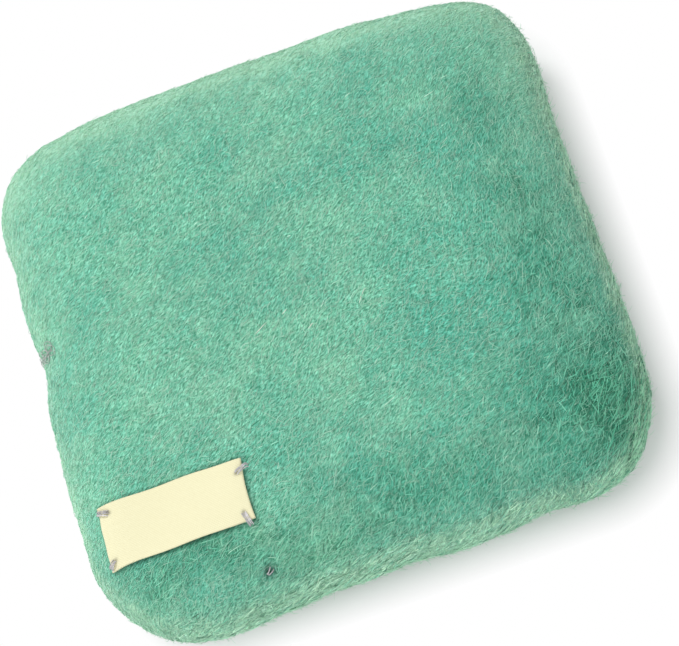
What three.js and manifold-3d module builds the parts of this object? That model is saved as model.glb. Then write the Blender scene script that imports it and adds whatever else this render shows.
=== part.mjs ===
// A needle felting mat: a square wool pad whose felted cover, an upper and a lower fleece, closes
// over a core of stacked batts. A woven label is tacked to the crown with thread at its corners.
// Millimetres, +Z up. The mat stands on Z = 0 at the origin, with its label towards -X and -Y.
import * as THREE from "three";
import { mergeVertices } from "three/addons/utils/BufferGeometryUtils.js";
import Module from "manifold-3d";

const wasm = await Module();
wasm.setup();

// Mat
const SIDE = 152; // across the mat at its rim
const CORNER_RADIUS = 27; // of the rim, in plan
const UPPER_HEIGHT = 21; // rim to crown
const LOWER_HEIGHT = 17; // table to rim
const CROWN_POWERS = { plan: 5.4, rise: 3.2 }; // the upper half's section is a superellipse
const BELLY_POWERS = { plan: 6, rise: 2.2 }; // and so is the lower half's
const FOOT_CUT = 0.5; // depth of the belly that is pressed flat on the table
const COVER_WALL = 5; // thickness of the felt
const FIT = 0.3; // gap between pieces that lie on each other

// Core
const BATT_COUNT = 6; // layers of carded wool, laid crosswise in turn

// Label, a ribbon with both ends folded under
const LABEL_LENGTH = 39;
const LABEL_WIDTH = 17;
const LABEL_THICKNESS = 0.6;
const LABEL_FOLD = 7; // length of the ends that are folded under
const LABEL_SETTLE = 5; // length over which the ribbon comes down from a folded end to the felt
const LABEL_FROM_SIDE = 7.7; // from the mat's left side to the label's near end
const LABEL_FROM_FRONT = 18.4; // from the mat's front to the label's near edge
const LABEL_TURN = THREE.MathUtils.degToRad(-3.5);

// Thread, sewn double, so that each stitch is a flat bundle of strands
const STITCH_WIDTH = 1.5;
const STITCH_THICKNESS = 0.7;
const STITCH_SPAN = 4.4; // between a tack's two legs
const STITCH_PAST_EDGE = 1.2; // how far outside the label a tack goes down into the felt
const FELT_UNDER_STITCH = 1.6; // felt left whole below a stitch
const FASTENING_SPAN = 2.8; // between the legs of a stitch that ends the thread

// Where each tack crosses the label's edge, from the corner that it is near
const BACK_LEFT_TACK_ACROSS = 1.4;
const BACK_RIGHT_TACK_ACROSS = 2.9;
const FRONT_RIGHT_TACK_ALONG = 1.4;
const FRONT_LEFT_TACK_ACROSS = 1.7;

// Stitches in the bare felt where the thread was fastened off, from the mat's left side and front
const FRONT_FASTENING_FROM_SIDE = 45.5;
const FRONT_FASTENING_FROM_FRONT = 5.5;
const SIDE_FASTENING_FROM_SIDE = 4.8;
const SIDE_FASTENING_FROM_FRONT = 84.6;

// Each tack's corner as signs along and across the label, and the way it heads outwards, in degrees
const TACKS = [
  { name: "tack_back_left", end: -1, edge: 1, across: BACK_LEFT_TACK_ACROSS, heading: 165 },
  { name: "tack_back_right", end: 1, edge: 1, across: BACK_RIGHT_TACK_ACROSS, heading: 25 },
  { name: "tack_front_right", end: 1, edge: -1, along: FRONT_RIGHT_TACK_ALONG, heading: -75 },
  { name: "tack_front_left", end: -1, edge: -1, across: FRONT_LEFT_TACK_ACROSS, heading: 220 },
];

const FASTENINGS = [
  {
    name: "fastening_front",
    fromSide: FRONT_FASTENING_FROM_SIDE,
    fromFront: FRONT_FASTENING_FROM_FRONT,
    heading: 40,
  },
  {
    name: "fastening_side",
    fromSide: SIDE_FASTENING_FROM_SIDE,
    fromFront: SIDE_FASTENING_FROM_FRONT,
    heading: 100,
  },
];

// Fineness of the surfaces
const ARC_STEPS = 8; // steps round a corner of the outline
const SIDE_STEPS = 3; // steps along a straight side
const SURFACE_STEPS = 10; // rings from the rim to a pole, outside
const LINING_STEPS = 6; // and inside the cover
const LABEL_STEPS = 16; // along the label
const LABEL_ROWS = 6; // across the label
const LOOP_STEPS = 16; // round a stitch
const LOOP_SIDES = 6; // round the bundle of thread
const PROBE = 0.05; // distance over which the crown's slope is taken

const RIM_Z = LOWER_HEIGHT;
const LABEL_STACK = FIT + 2 * LABEL_THICKNESS + FIT; // felt to the top of a folded end
const STITCH_DEPTH = COVER_WALL - FELT_UNDER_STITCH - FIT - STITCH_THICKNESS / 2;

const felt = new THREE.MeshStandardMaterial({ color: 0x7ab99c, roughness: 0.95, metalness: 0 });
const fleece = new THREE.MeshStandardMaterial({ color: 0xe6dfcc, roughness: 0.95, metalness: 0 });
const ribbon = new THREE.MeshStandardMaterial({ color: 0xf3edc6, roughness: 0.7, metalness: 0 });
const thread = new THREE.MeshStandardMaterial({ color: 0xb4aeb8, roughness: 0.6, metalness: 0 });

// Closed surface over a row of rings with equally many points, where a ring of one point is a pole.
// With wrap, the last ring joins the first.
function skin(rings, wrap = false) {
  const points = rings.flat();
  const starts = [];
  let count = 0;
  for (const ring of rings) {
    starts.push(count);
    count += ring.length;
  }
  const triangles = [];
  const bands = wrap ? rings.length : rings.length - 1;
  for (let k = 0; k < bands; k++) {
    const next = (k + 1) % rings.length;
    const size = Math.max(rings[k].length, rings[next].length);
    for (let i = 0; i < size; i++) {
      const j = (i + 1) % size;
      const a = starts[k] + (i % rings[k].length);
      const b = starts[k] + (j % rings[k].length);
      const c = starts[next] + (j % rings[next].length);
      const d = starts[next] + (i % rings[next].length);
      if (a !== b) triangles.push(a, b, c);
      if (c !== d) triangles.push(a, c, d);
    }
  }
  return new THREE.BufferGeometry().setFromPoints(points).setIndex(triangles);
}

// A geometry as a solid that can be joined and cut, and back.
function solidOf(geometry) {
  const bare = geometry.clone();
  bare.deleteAttribute("normal");
  bare.deleteAttribute("uv");
  const merged = mergeVertices(bare);
  return new wasm.Manifold(
    new wasm.Mesh({
      numProp: 3,
      vertProperties: new Float32Array(merged.attributes.position.array),
      triVerts: new Uint32Array(merged.index.array),
    }),
  );
}

function geometryOf(solid) {
  const mesh = solid.getMesh();
  return new THREE.BufferGeometry()
    .setAttribute("position", new THREE.BufferAttribute(mesh.vertProperties, 3))
    .setIndex(new THREE.BufferAttribute(mesh.triVerts, 1));
}

function cut(geometry, cutters) {
  let solid = solidOf(geometry);
  for (const cutter of cutters) solid = solid.subtract(solidOf(cutter));
  return geometryOf(solid);
}

function named(name, geometry, material) {
  geometry.computeVertexNormals();
  const mesh = new THREE.Mesh(geometry, material);
  mesh.name = name;
  return mesh;
}

// The rim in plan, moved in by inset: a square with round corners, anticlockwise from +X.
function outline(inset) {
  const radius = CORNER_RADIUS - inset;
  const centre = SIDE / 2 - CORNER_RADIUS;
  const points = [];
  for (let quarter = 0; quarter < 4; quarter++) {
    const turn = (quarter * Math.PI) / 2;
    const origin = new THREE.Vector2();
    const corner = new THREE.Vector2(centre, centre).rotateAround(origin, turn);
    for (let i = 0; i <= ARC_STEPS; i++) {
      const angle = turn + (i / ARC_STEPS) * (Math.PI / 2);
      points.push(corner.clone().add(new THREE.Vector2(radius, 0).rotateAround(origin, angle)));
    }
    const from = points.at(-1);
    const to = from.clone().sub(corner).add(corner.clone().rotateAround(origin, Math.PI / 2));
    for (let i = 1; i < SIDE_STEPS; i++) points.push(from.clone().lerp(to, i / SIDE_STEPS));
  }
  return points;
}

// Rings of half the mat's surface, moved in by inset, from the rim to the pole. Round the section
// the outline shrinks by cos^(2/plan) while the height grows by sin^(2/rise).
function dome(inset, steps, height, powers, floor = -Infinity) {
  const rim = outline(inset);
  const rings = [];
  for (let k = 0; k < steps; k++) {
    const angle = ((k / steps) * Math.PI) / 2;
    const reach = Math.cos(angle) ** (2 / powers.plan);
    const z = Math.max(floor, RIM_Z + height * Math.sin(angle) ** (2 / powers.rise));
    rings.push(rim.map((p) => new THREE.Vector3(p.x * reach, p.y * reach, z)));
  }
  rings.push([new THREE.Vector3(0, 0, Math.max(floor, RIM_Z + height))]);
  return rings;
}

function crown(inset, steps) {
  return dome(inset, steps, UPPER_HEIGHT - inset, CROWN_POWERS);
}

function belly(inset, steps) {
  return dome(inset, steps, inset - LOWER_HEIGHT - FOOT_CUT, BELLY_POWERS, inset);
}

// How far out a place in plan lies, as a share of the rim in that direction.
function shareOfRim(x, y) {
  const straight = Math.max(Math.abs(x), Math.abs(y)) / (SIDE / 2);
  const centre = SIDE / 2 - CORNER_RADIUS;
  if (Math.min(Math.abs(x), Math.abs(y)) <= centre * straight) return straight;
  const dot = (Math.abs(x) + Math.abs(y)) * centre;
  const square = x * x + y * y;
  const rest = 2 * centre * centre - CORNER_RADIUS * CORNER_RADIUS;
  return square / (dot + Math.sqrt(dot * dot - square * rest));
}

function crownHeight(x, y) {
  const share = Math.min(1, shareOfRim(x, y));
  return RIM_Z + UPPER_HEIGHT * (1 - share ** CROWN_POWERS.plan) ** (1 / CROWN_POWERS.rise);
}

function crownPoint({ x, y }) {
  return new THREE.Vector3(x, y, crownHeight(x, y));
}

function crownNormal({ x, y }) {
  const slopeX = (crownHeight(x + PROBE, y) - crownHeight(x - PROBE, y)) / (2 * PROBE);
  const slopeY = (crownHeight(x, y + PROBE) - crownHeight(x, y - PROBE)) / (2 * PROBE);
  return new THREE.Vector3(-slopeX, -slopeY, 1).normalize();
}

// A place on the label, along its length and across its width, in plan.
function onLabel(along, across) {
  const middle = new THREE.Vector2(
    LABEL_FROM_SIDE + LABEL_LENGTH / 2 - SIDE / 2,
    LABEL_FROM_FRONT + LABEL_WIDTH / 2 - SIDE / 2,
  );
  return new THREE.Vector2(along, across).rotateAround(new THREE.Vector2(), LABEL_TURN).add(middle);
}

// The ribbon's section along its length: a panel with both ends folded under it, lifted by the
// folds and down on the felt between them.
function labelSection() {
  const half = LABEL_LENGTH / 2;
  const folded = LABEL_THICKNESS + FIT;
  const lift = (s) =>
    folded *
    THREE.MathUtils.smoothstep(Math.abs(s), half - LABEL_FOLD - LABEL_SETTLE, half - LABEL_FOLD);
  const stations = [];
  for (let i = 0; i <= LABEL_STEPS; i++) stations.push(-half + (LABEL_LENGTH * i) / LABEL_STEPS);
  const inner = stations.map((s) => s * (1 - LABEL_THICKNESS / half)).reverse();
  return new THREE.Shape([
    ...stations.map((s) => new THREE.Vector2(s, lift(s) + LABEL_THICKNESS)),
    new THREE.Vector2(half, 0),
    new THREE.Vector2(half - LABEL_FOLD, 0),
    new THREE.Vector2(half - LABEL_FOLD, LABEL_THICKNESS),
    new THREE.Vector2(half - LABEL_THICKNESS, LABEL_THICKNESS),
    ...inner.map((s) => new THREE.Vector2(s, lift(s))),
    new THREE.Vector2(LABEL_THICKNESS - half, LABEL_THICKNESS),
    new THREE.Vector2(LABEL_FOLD - half, LABEL_THICKNESS),
    new THREE.Vector2(LABEL_FOLD - half, 0),
    new THREE.Vector2(-half, 0),
  ]);
}

// The ribbon laid over the crown.
function labelGeometry() {
  const geometry = new THREE.ExtrudeGeometry(labelSection(), {
    depth: LABEL_WIDTH,
    steps: LABEL_ROWS,
    bevelEnabled: false,
  });
  const position = geometry.attributes.position;
  for (let i = 0; i < position.count; i++) {
    const place = onLabel(position.getX(i), LABEL_WIDTH / 2 - position.getZ(i));
    const lifted = crownPoint(place).addScaledVector(crownNormal(place), FIT + position.getY(i));
    position.setXYZ(i, lifted.x, lifted.y, lifted.z);
  }
  return geometry;
}

// A stitch: a closed loop of thread that stands square to the felt at a place in plan. It heads
// along the felt, rises over what it holds and runs below through the felt. With room, it is the
// hole that the thread needs.
function stitch({ place, heading, span, rise }, room = 0) {
  const normal = crownNormal(place);
  const flat = new THREE.Vector3(Math.cos(heading), Math.sin(heading), 0);
  const ahead = flat.addScaledVector(normal, -flat.dot(normal)).normalize();
  const sideways = new THREE.Vector3().crossVectors(normal, ahead);
  const tall = (rise + STITCH_DEPTH) / 2;
  const centre = crownPoint(place).addScaledVector(normal, rise - tall);
  const onLoop = (angle) => {
    const along = Math.sign(Math.cos(angle)) * Math.sqrt(Math.abs(Math.cos(angle)));
    const up = Math.sign(Math.sin(angle)) * Math.sqrt(Math.abs(Math.sin(angle)));
    return centre
      .clone()
      .addScaledVector(ahead, (along * span) / 2)
      .addScaledVector(normal, up * tall);
  };
  const rings = [];
  for (let k = 0; k < LOOP_STEPS; k++) {
    const angle = ((k + 0.5) / LOOP_STEPS) * 2 * Math.PI;
    const step = Math.PI / LOOP_STEPS;
    const tangent = onLoop(angle + step).sub(onLoop(angle - step)).normalize();
    const outward = new THREE.Vector3().crossVectors(tangent, sideways);
    const ring = [];
    for (let i = 0; i < LOOP_SIDES; i++) {
      const turn = (i / LOOP_SIDES) * 2 * Math.PI;
      const wide = Math.cos(turn) * (STITCH_WIDTH / 2 + room);
      const thick = Math.sin(turn) * (STITCH_THICKNESS / 2 + room);
      ring.push(onLoop(angle).addScaledVector(sideways, wide).addScaledVector(outward, thick));
    }
    rings.push(ring);
  }
  return skin(rings, true);
}

// A tack reaches from inside the label, over its edge, to just outside it.
function tackStitch({ end, edge, along = 0, across = 0, heading }) {
  const crossing = onLabel(
    end * (LABEL_LENGTH / 2 - along),
    edge * (LABEL_WIDTH / 2 - across),
  );
  const turned = THREE.MathUtils.degToRad(heading) + LABEL_TURN;
  const back = STITCH_SPAN / 2 - STITCH_PAST_EDGE;
  const inwards = new THREE.Vector2(-Math.cos(turned), -Math.sin(turned)).multiplyScalar(back);
  return {
    place: crossing.add(inwards),
    heading: turned,
    span: STITCH_SPAN,
    rise: LABEL_STACK + FIT + STITCH_THICKNESS / 2,
  };
}

function fasteningStitch({ fromSide, fromFront, heading }) {
  return {
    place: new THREE.Vector2(fromSide - SIDE / 2, fromFront - SIDE / 2),
    heading: THREE.MathUtils.degToRad(heading),
    span: FASTENING_SPAN,
    rise: 0,
  };
}

// The core fills the cover and is split level into batts.
function batts() {
  const inset = COVER_WALL + FIT;
  const below = belly(inset, LINING_STEPS).reverse();
  const above = crown(inset, LINING_STEPS).slice(1);
  const core = solidOf(skin([...below, ...above]));
  const top = RIM_Z + UPPER_HEIGHT - inset;
  const pitch = (top - inset) / BATT_COUNT;
  const thickness = pitch - FIT * (1 - 1 / BATT_COUNT);
  const made = [];
  for (let k = 0; k < BATT_COUNT; k++) {
    const slab = new THREE.BoxGeometry(SIDE, SIDE, thickness);
    slab.translate(0, 0, inset + k * (thickness + FIT) + thickness / 2);
    made.push(named(`core_batt_${k + 1}`, geometryOf(core.intersect(solidOf(slab))), fleece));
  }
  return made;
}

const tacks = TACKS.map((tack) => ({ name: tack.name, ...tackStitch(tack) }));
const fastenings = FASTENINGS.map((one) => ({ name: one.name, ...fasteningStitch(one) }));
const stitches = [...tacks, ...fastenings];
const tackHoles = tacks.map((one) => stitch(one, FIT));
const allHoles = stitches.map((one) => stitch(one, FIT));

const upperLining = crown(COVER_WALL, LINING_STEPS).reverse();
const upperShell = skin([...upperLining, ...crown(0, SURFACE_STEPS)]);
const lowerLining = belly(COVER_WALL, LINING_STEPS);
const lowerShell = skin([...belly(0, SURFACE_STEPS).reverse(), ...lowerLining]);

const mat = new THREE.Group();
mat.name = "needle_felting_mat";
mat.add(named("upper_cover", cut(upperShell, allHoles), felt));
mat.add(named("lower_cover", lowerShell, felt));
mat.add(...batts());
mat.add(named("label", cut(labelGeometry(), tackHoles), ribbon));
mat.add(...stitches.map((one) => named(one.name, stitch(one), thread)));

export default mat;
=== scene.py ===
"""Looks of a square needle felting mat: felted cover, nap, core batts, label and thread.

Shapes are worked out in millimetres, +Z up, with the mat's resting face at the origin.
"""
import math

import bpy
import numpy as np
from mathutils import Matrix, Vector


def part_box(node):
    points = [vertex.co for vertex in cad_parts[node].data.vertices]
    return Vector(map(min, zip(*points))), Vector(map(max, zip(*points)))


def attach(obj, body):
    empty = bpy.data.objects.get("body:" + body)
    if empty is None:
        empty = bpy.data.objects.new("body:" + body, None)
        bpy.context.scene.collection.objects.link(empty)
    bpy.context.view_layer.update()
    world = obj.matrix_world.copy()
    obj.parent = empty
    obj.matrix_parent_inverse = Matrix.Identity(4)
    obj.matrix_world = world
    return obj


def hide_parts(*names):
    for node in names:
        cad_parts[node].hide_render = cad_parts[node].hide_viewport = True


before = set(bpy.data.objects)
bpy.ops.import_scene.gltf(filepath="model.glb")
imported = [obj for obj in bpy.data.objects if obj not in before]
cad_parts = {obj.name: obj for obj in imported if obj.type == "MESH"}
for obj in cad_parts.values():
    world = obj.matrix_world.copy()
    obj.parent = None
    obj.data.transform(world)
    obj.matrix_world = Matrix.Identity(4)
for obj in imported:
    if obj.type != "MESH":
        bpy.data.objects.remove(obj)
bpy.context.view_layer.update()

bl_info = {
    "name": "Needle felting mat",
    "version": (1, 0, 0),
    "blender": (4, 5, 0),
    "location": "3D View > Sidebar > Mat",
    "description": "Builds a felted wool mat with its nap, core, label and stitches",
    "category": "Add Mesh",
}

MM = 0.001
COVER_LOW, COVER_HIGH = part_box("upper_cover")

# Outline of the rim: how far it strays from a true rounded square, as (plan angle in degrees,
# reach in degrees, millimetres outwards)
EDGE_WAVES = (
    (55, 7, -3.3),
    (42, 3, 0.5),
    (64, 5, -0.3),
    (84, 9, -0.6),
    (104, 6, -0.4),
    (126, 5, -1.4),
    (153, 7, -1.2),
    (174, 8, -2.5),
    (-161, 5, 0.6),
    (-138, 7, -1.3),
    (-121, 5, 0.7),
    (-104, 9, -1.7),
    (-87, 8, -1.8),
    (-73, 7, -1.0),
    (-60, 8, -3.4),
    (-41, 10, -1.9),
    (-20, 5, -0.5),
    (-9, 6, -0.8),
    (5, 8, -0.9),
    (22, 8, -0.9),
)

# Section of the pad and how it is worked out
FOOT_CUT = 0.5  # depth of the belly that is pressed flat on the table
PROBE = 0.02  # distance over which slopes are taken
SETTLE_STEPS = 3
LONGEST_STEP = 1.5  # furthest that a point moves in one of those steps
SECTION_POINTS = 4001
SECTION_CROWDING = 9  # how closely those points crowd at the rim and the pole
RIM_POINTS = 16  # points tried on the rim for each one that is wanted
CREASE_SHARE = 0.02  # how far into the first row a ring lies that keeps the rim's crease sharp

# Noise on the felt: pitch in millimetres, height in millimetres or as a share, seed
NOISE_CELLS = 64  # cells after which the noise repeats
BROAD_LUMPS = (24.0, 0.45, 3)
SMALL_LUMPS = (6.5, 0.22, 4)
FINE_LUMPS = (2.1, 0.12, 5)
DYE_NOISE = ((14, 0.6, 11), (5, 0.4, 12), (2.2, 0.3, 16))
PALE_BLOTCHES = (7, 0.22, 18)
OPEN_CLUMPS = (3.2, 0.9, 15)
RAGGED_EDGES = ((11, 7, 14), (11, 7, 17))
SHEEN_PATCHES = (5, 0.35, 19)
BATT_HOLLOWS = (4.0, 0.1, 31)
GRAIN_WANDER = (24, 0.2, 13)
GRAIN_SHIFT = np.array([12.5, -12.5])  # pull on the streaks' map for a radian of that wander

# Dye of the felt, and where it is deeper in plan: middle, reach along x and y, and how much, below
# zero if lighter
DYE_MIDDLE = 0.55  # share of mint where the noise is zero
DYE_CONTRAST = 0.75
DYE_PATCHES = (
    # the first three, round the front right corner, the right and the front, are partly painted
    # shade
    (50, -46, 42, 32, 0.8),
    (62, -5, 22, 50, 0.5),
    (-10, -62, 40, 14, 0.25),
    (50, 5, 14, 14, 0.3),
    (-50, 35, 16, 14, 0.4),
    (-6, -2, 20, 16, -0.4),
)
DEEPENING = np.array([1.38, 0.95, 1.08])  # how strongly red, green and blue fall as felt darkens
OPEN_DEEPENING = DEEPENING * [1.12, 0.79, 0.98]  # the same for fibres where the felt is open
DARKEST = 0.6  # how far open felt darkens at most, partly as painted shade
GAP_SHADE = 0.52  # how much darker the felt is between its fibres, partly deeper dye, partly painted shade
RAISED_TINT = (1.5, 1.36, 1.42)  # how much lighter it is on top of them, partly as painted light on their crests
STREAKS = ((15, 3.6), (-17, 3.2), (0, 2.6))  # turn from the grain in degrees, stretch along it
STREAKS_TO_A_MM = 2.5
EVEN_HEIGHT = 0.45  # height of the streaks where the painted rim sheen evens them

# Where the felt is open and painted darker, partly as shade of the sides away from the key lamp:
# round the front right corner, and along the right and the front
OPEN_CORNER = (65, -58)
OPEN_CORNER_REACH = 21
OPEN_RIGHT = 60
OPEN_RIGHT_REACH = 11
OPEN_RIGHT_SHARE = 0.45
OPEN_RIGHT_END = 75  # towards the back: it fades from the middle of the side to here
OPEN_FRONT = -65
OPEN_FRONT_REACH = 9
OPEN_FRONT_SHARE = 0.4
OPEN_FRONT_FALL = 0.002  # how much less of it there is for each millimetre to the right
OPEN_FRONT_END = -75  # towards the left
OPEN_FRONT_FADE = 15

# Painted sheen that pales the felt round the rim, most at the back, and painted bounce light where
# the walls turn under; both even the contrast between fibres
RIM_SHEEN = 0.55  # share round the rim, halfway from front to back
SIDE_SHEEN = 0.05  # how much less it is at the right and left
BACKWARD_SHEEN = 0.35  # how much more it is at the back, and less at the front
BACK_SHEEN = 2.4  # how much more it is close to the back edge
BACK_POWER = 5  # how sharply that grows towards the edge
RIM_SLOPE = 0.5  # fall of the normal's upward part over which the rim's wear grows
EARLY_LEFT = 0.4  # how far back the left wall pales early, as a share of the half side
UNDER_START = 0.65  # upward part of the normal where the walls begin to pale
UNDER_EARLIER = 0.45
UNDER_FADE = 0.6
UNDER_POWER = 1.5  # how sharply that paling grows
OPEN_UNDER_POWER = 2  # how much more sharply where the felt is open
OPEN_SHEEN = 0.6  # how much less painted sheen shows where the felt is open
FELT_SHEEN = 0.8  # how much of it shows in the felt under the nap
SHEEN_EVENING = 0.7  # how far it evens the contrast between fibres
WALL_START = 0.93  # upward part of the normal where walls begin
WALL_FADE = 0.5
HANDLED_FACING = np.array([0.45, -0.42, 0])  # way in which the walls face that hands rub
HANDLED_MIDDLE = 0.4

# Where the grain turns from the crown's heading: middle and reach in plan, and the turn in radians
SWIRL_MIDDLE = np.array([66.0, -5.0])
SWIRL_REACH = np.array([28.0, 45.0])
SWIRL_TURN = 0.6
WALL_TURN = 0.3  # on the front wall
WALL_TURN_MIDDLE = 0.6  # share of that halfway along the wall, from where it grows to the right
LEAST_UNDER = 0.2  # least of 1 + n_z where headings are carried over the edges

# Fineness of the surfaces
POINTS_AROUND = 560
CROWN_ROWS = 104
BELLY_ROWS = 92
LINING_ROWS = 8
SCATTER_AROUND = 240
SCATTER_ROWS = 60
BATT_AROUND = 160
BATT_EDGE_ROWS = 9
BATT_FACE_ROWS = 16
FOLD_POINTS = 13
FLAP_POINTS = 8
PANEL_POINTS = 61
RIBBON_ROWS = 150
RIBBON_COLUMNS = 45
STITCH_POINTS = 72
LOOP_POINTS = 120
PLY_SIDES = 6
FIBRE_SIDES = 3
NAP_STEPS = 4
FUZZ_STEPS = 5

# Fibres
FIBRE_PIECES = 5  # pieces that the nap and the fuzz are each split into
NAP_SEED = 21
FUZZ_SEED = 22
STRAY_SEED = 23
CELL_MARGIN = 0.12  # share of a fibre's own cell left free round it
FOOT_HEIGHT = 2.0  # height under which fibres are thinned out
NAP_UNDERNEATH = 0.4  # share of the nap left there
FUZZ_UNDERNEATH = 0.1
LOWEST_FIBRE = 0.05
LABEL_CLEARANCE = 0.3  # margin that fibres keep from the label
LENGTH_SPREAD = 0.4  # spreads of their random sizes
WIDTH_SPREAD = 0.25
COARSENESS = 1.1  # how much longer and thicker the nap is where it is rough
HANDLED_ROUGHNESS = 0.65  # how rough it is on the walls that hands rub
NAP_STAND = (2.0, 0.035)  # shape and scale of its random height
NAP_WALL_STAND = 0.7  # how much higher it is on the walls
NAP_ARCH = 1.1  # height of a fibre's middle, as its ends are 1 lower
NAP_SINK = 0.12  # depth of its ends in the felt
NAP_BEND = 0.4
ROUGH_STRAIGHTENING = 0.5  # how much less it bends where it is rough
NAP_TURN = 0.4  # spread of its headings in radians
WALL_COMBING = 0.1  # how much less that is on the walls
OPEN_TANGLING = 0.25  # how much more it is where the crown is open
NAP_SHADES = 0.28  # spread of its shades
ROUGH_SHADES = 0.5  # how much wider that is where it is rough
LIGHTEST_SHADE = 0.34
PALEST = 0.985  # the share of the nap past this is paler still
NAP_PALENESS = 0.5  # greatest share of pale dye in the rest
PALEST_MORE = 0.4
NAP_OPEN_PALENESS = 0.3  # how much less there is where the felt is open
NAP_OPEN_SHADE = 0.5  # share of the open felt's shade that the nap takes
FUZZ_STAND = (1.6, 0.2)
FUZZ_WALL_FALL = 0.75  # how much lower it is on the walls
HANDLED_STAND = 1.6  # how much higher where hands rub them
FUZZ_HIGHEST = 2
FUZZ_CLIMB = 1.6  # how steeply it leaves the felt
FUZZ_SINK = 0.15
FUZZ_BEND = 0.7
FUZZ_WALL_STRAIGHTENING = 0.4
FUZZ_TURN = 0.6
FUZZ_DROOP = (0.2, 1.2)  # least and most that its ends come down
FUZZ_PALENESS = 0.35  # least share of pale dye
FUZZ_OPEN_PALENESS = 0.45
FUZZ_OPEN_SHADE = 0.3
LONG_SHARE = 0.008  # share of the fuzz that is long and pale
LONG_STRETCH = 2.6

# Stray pale fibres on the crown: plan place, heading in degrees, length
STRAYS = (
    (-6.5, -7.0, 36, 2.4),
    (-13.8, -9.2, 32, 5.0),
    (-1.5, -13.5, 36, 1.8),
    (-0.9, -13.0, 34, 1.5),
    (13.0, -11.0, 60, 3.0),
    (14.5, -9.0, 48, 2.4),
)
STRAY_WIDTH = 0.18
STRAY_COLOUR = (0.95, 0.96, 0.86)
STRAY_HEIGHT = 0.65  # over the felt at the middle
STRAY_DIP = 0.25  # how much lower the ends are
STRAY_BEND = 0.25

# Batts of the core
BATT_CLEARANCE = 0.3  # from the cover
BATT_ROUNDING = 0.012  # how far the upper and lower edges are drawn in, as a share of the rim's
BATT_HOLLOW = 0.12
BATT_FACES = (0.95, 0.05)  # outermost and innermost ring of a face, as shares of its edge

# How the label lies
LABEL_LEVEL = 20  # height over which felt can lie under it
LABEL_DENT = 2.4  # how far the felt is pressed in under it
DENT_SHIFT = 4  # how far left of its middle that is deepest
DENT_ALONG = 16  # reaches of the dent
DENT_ACROSS = 20
CALM_MARGIN = 1.5  # how far round it the smaller lumps are flattened
LABEL_SHADOW_REACH = 0.6  # reach of the painted shadow line where the felt tucks under its edges
LABEL_SHADOW_DARKNESS = 0.55
FOLD_RADIUS = 0.6  # of the ribbon's thickness
PANEL_START = 0.2  # where the panel starts to settle on the felt, in folds from its ends
PANEL_REACH = 1.3  # over how many folds it settles
PANEL_FALL = 0.8  # how much of the folds' height it loses
RIBBON_GAP = 0.12  # between ribbon and felt
EDGE_CURL = 0.25  # how far its long edges stand up
END_BOW = 0.5  # how far its right end is drawn in at the middle
END_TAPER = 0.055  # how much narrower that end is
SIDE_WAVE = 0.12  # how far its long edges wave aside
SIDE_WAVES = 0.33  # radians of that to a millimetre
RIPPLE = 0.072  # height of the ripples towards its ends
RIPPLE_START = 10  # distance from its middle where they start to grow
RIPPLE_ACROSS = 0.9  # radians of them to a millimetre
RIPPLE_ALONG = 0.35

# Tacks on the label: corner as signs along and across, distances in from it along and across, the
# way it heads outwards in degrees, and the span of its stitches
TACKS = {
    "tack_back_left": (-1, 1, 0.3, 1.6, 165, 3.7),
    "tack_back_right": (1, 1, -0.4, 2.9, 25, 3.7),
    "tack_front_right": (1, -1, 1.8, 0.1, -75, 3.7),
    "tack_front_left": (-1, -1, 0.4, 1.3, 220, 2.7),
}
TACK_SEED = 41
TACK_OVERHANG = 1.0  # how far the stitches of a tack reach past the label's edge
TACK_PULL = 0.3  # how far a tack pulls the label down
TACK_PULL_REACH = 2.0
HOLE_SHADE = 0.6  # painted shade round the needle's holes, which are not cut
HOLE_SPREAD = 0.3  # square of their reach

# Stitches where the thread was fastened off: distances from the mat's left side and front
FASTENINGS = {
    "fastening_front": (46.0, 5.3),
    "fastening_side": (5.0, 85.0),
}
FASTENING_SEED = 42
FRONT_HEADING = 46  # degrees
# painted highlight: the front stitch's thread is the tacks' grey made lighter, as lit thread
FRONT_HIGHLIGHT = 1.35
PIT_REACH = 1.6  # reach of the pit round the front fastening
PIT_DEPTH = 0.9
# how much of the felt's brightness painted shade takes in the pit
PIT_SHADE = 0.95

# Sewing: strands side by side, their spacing in strands, span, rise above and depth below the felt
TACK_SEWING = {"count": 4, "spacing": 1.0, "rise": 1.3, "depth": 2.4}
FRONT_SEWING = {"count": 2, "spacing": 2.1, "span": 1.8, "rise": 1.1, "depth": 2.0}
STITCH_TWISTS = 9
STITCH_SPANS = (0.8, 1.06)  # least and most of the span that a strand takes
STITCH_SLANT = 0.16  # spread of how far a strand's ends stray aside
PLY_OFFSET = 0.52  # how far a ply's middle is from the strand's, in strand radii
PLY_RADIUS = 0.56
STRAND_SHADES = 0.2  # spread of the strands' shades
THREAD_SHADES = (0.6, 1.4)  # painted shade between a strand's fibres and painted highlight on their crests

# Strands of the side fastening: heading in degrees, turns, how far they reach, shift aside
SIDE_LOOPS = (
    (80, 2.5, 4.6, 2.8),
    (100, 3.0, 4.8, -0.3),
    (112, 3.0, 4.4, -2.8),
    (172, 2.5, 8.0, 0.6),
)
LOOP_RADIUS = 1.0
LOOP_SWELL = 0.25  # how much the radius grows and shrinks along a strand
LOOP_ENDS = 1.8  # part of the reach that the loops' own width takes up
LOOP_LIFT = 0.3  # height over the felt
LOOP_ROLL = 0.3  # how far they rise and dip as they circle
LOOP_ARCH = 0.25  # how much higher the middle of a strand is
LOOP_STRAND = 0.35  # radius of their thread, in strands
LOOP_TWISTS = 14
LOOP_WOOL = 0.3  # share of felt fibres in their colour
LOOP_SHADE = 0.72

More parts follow.
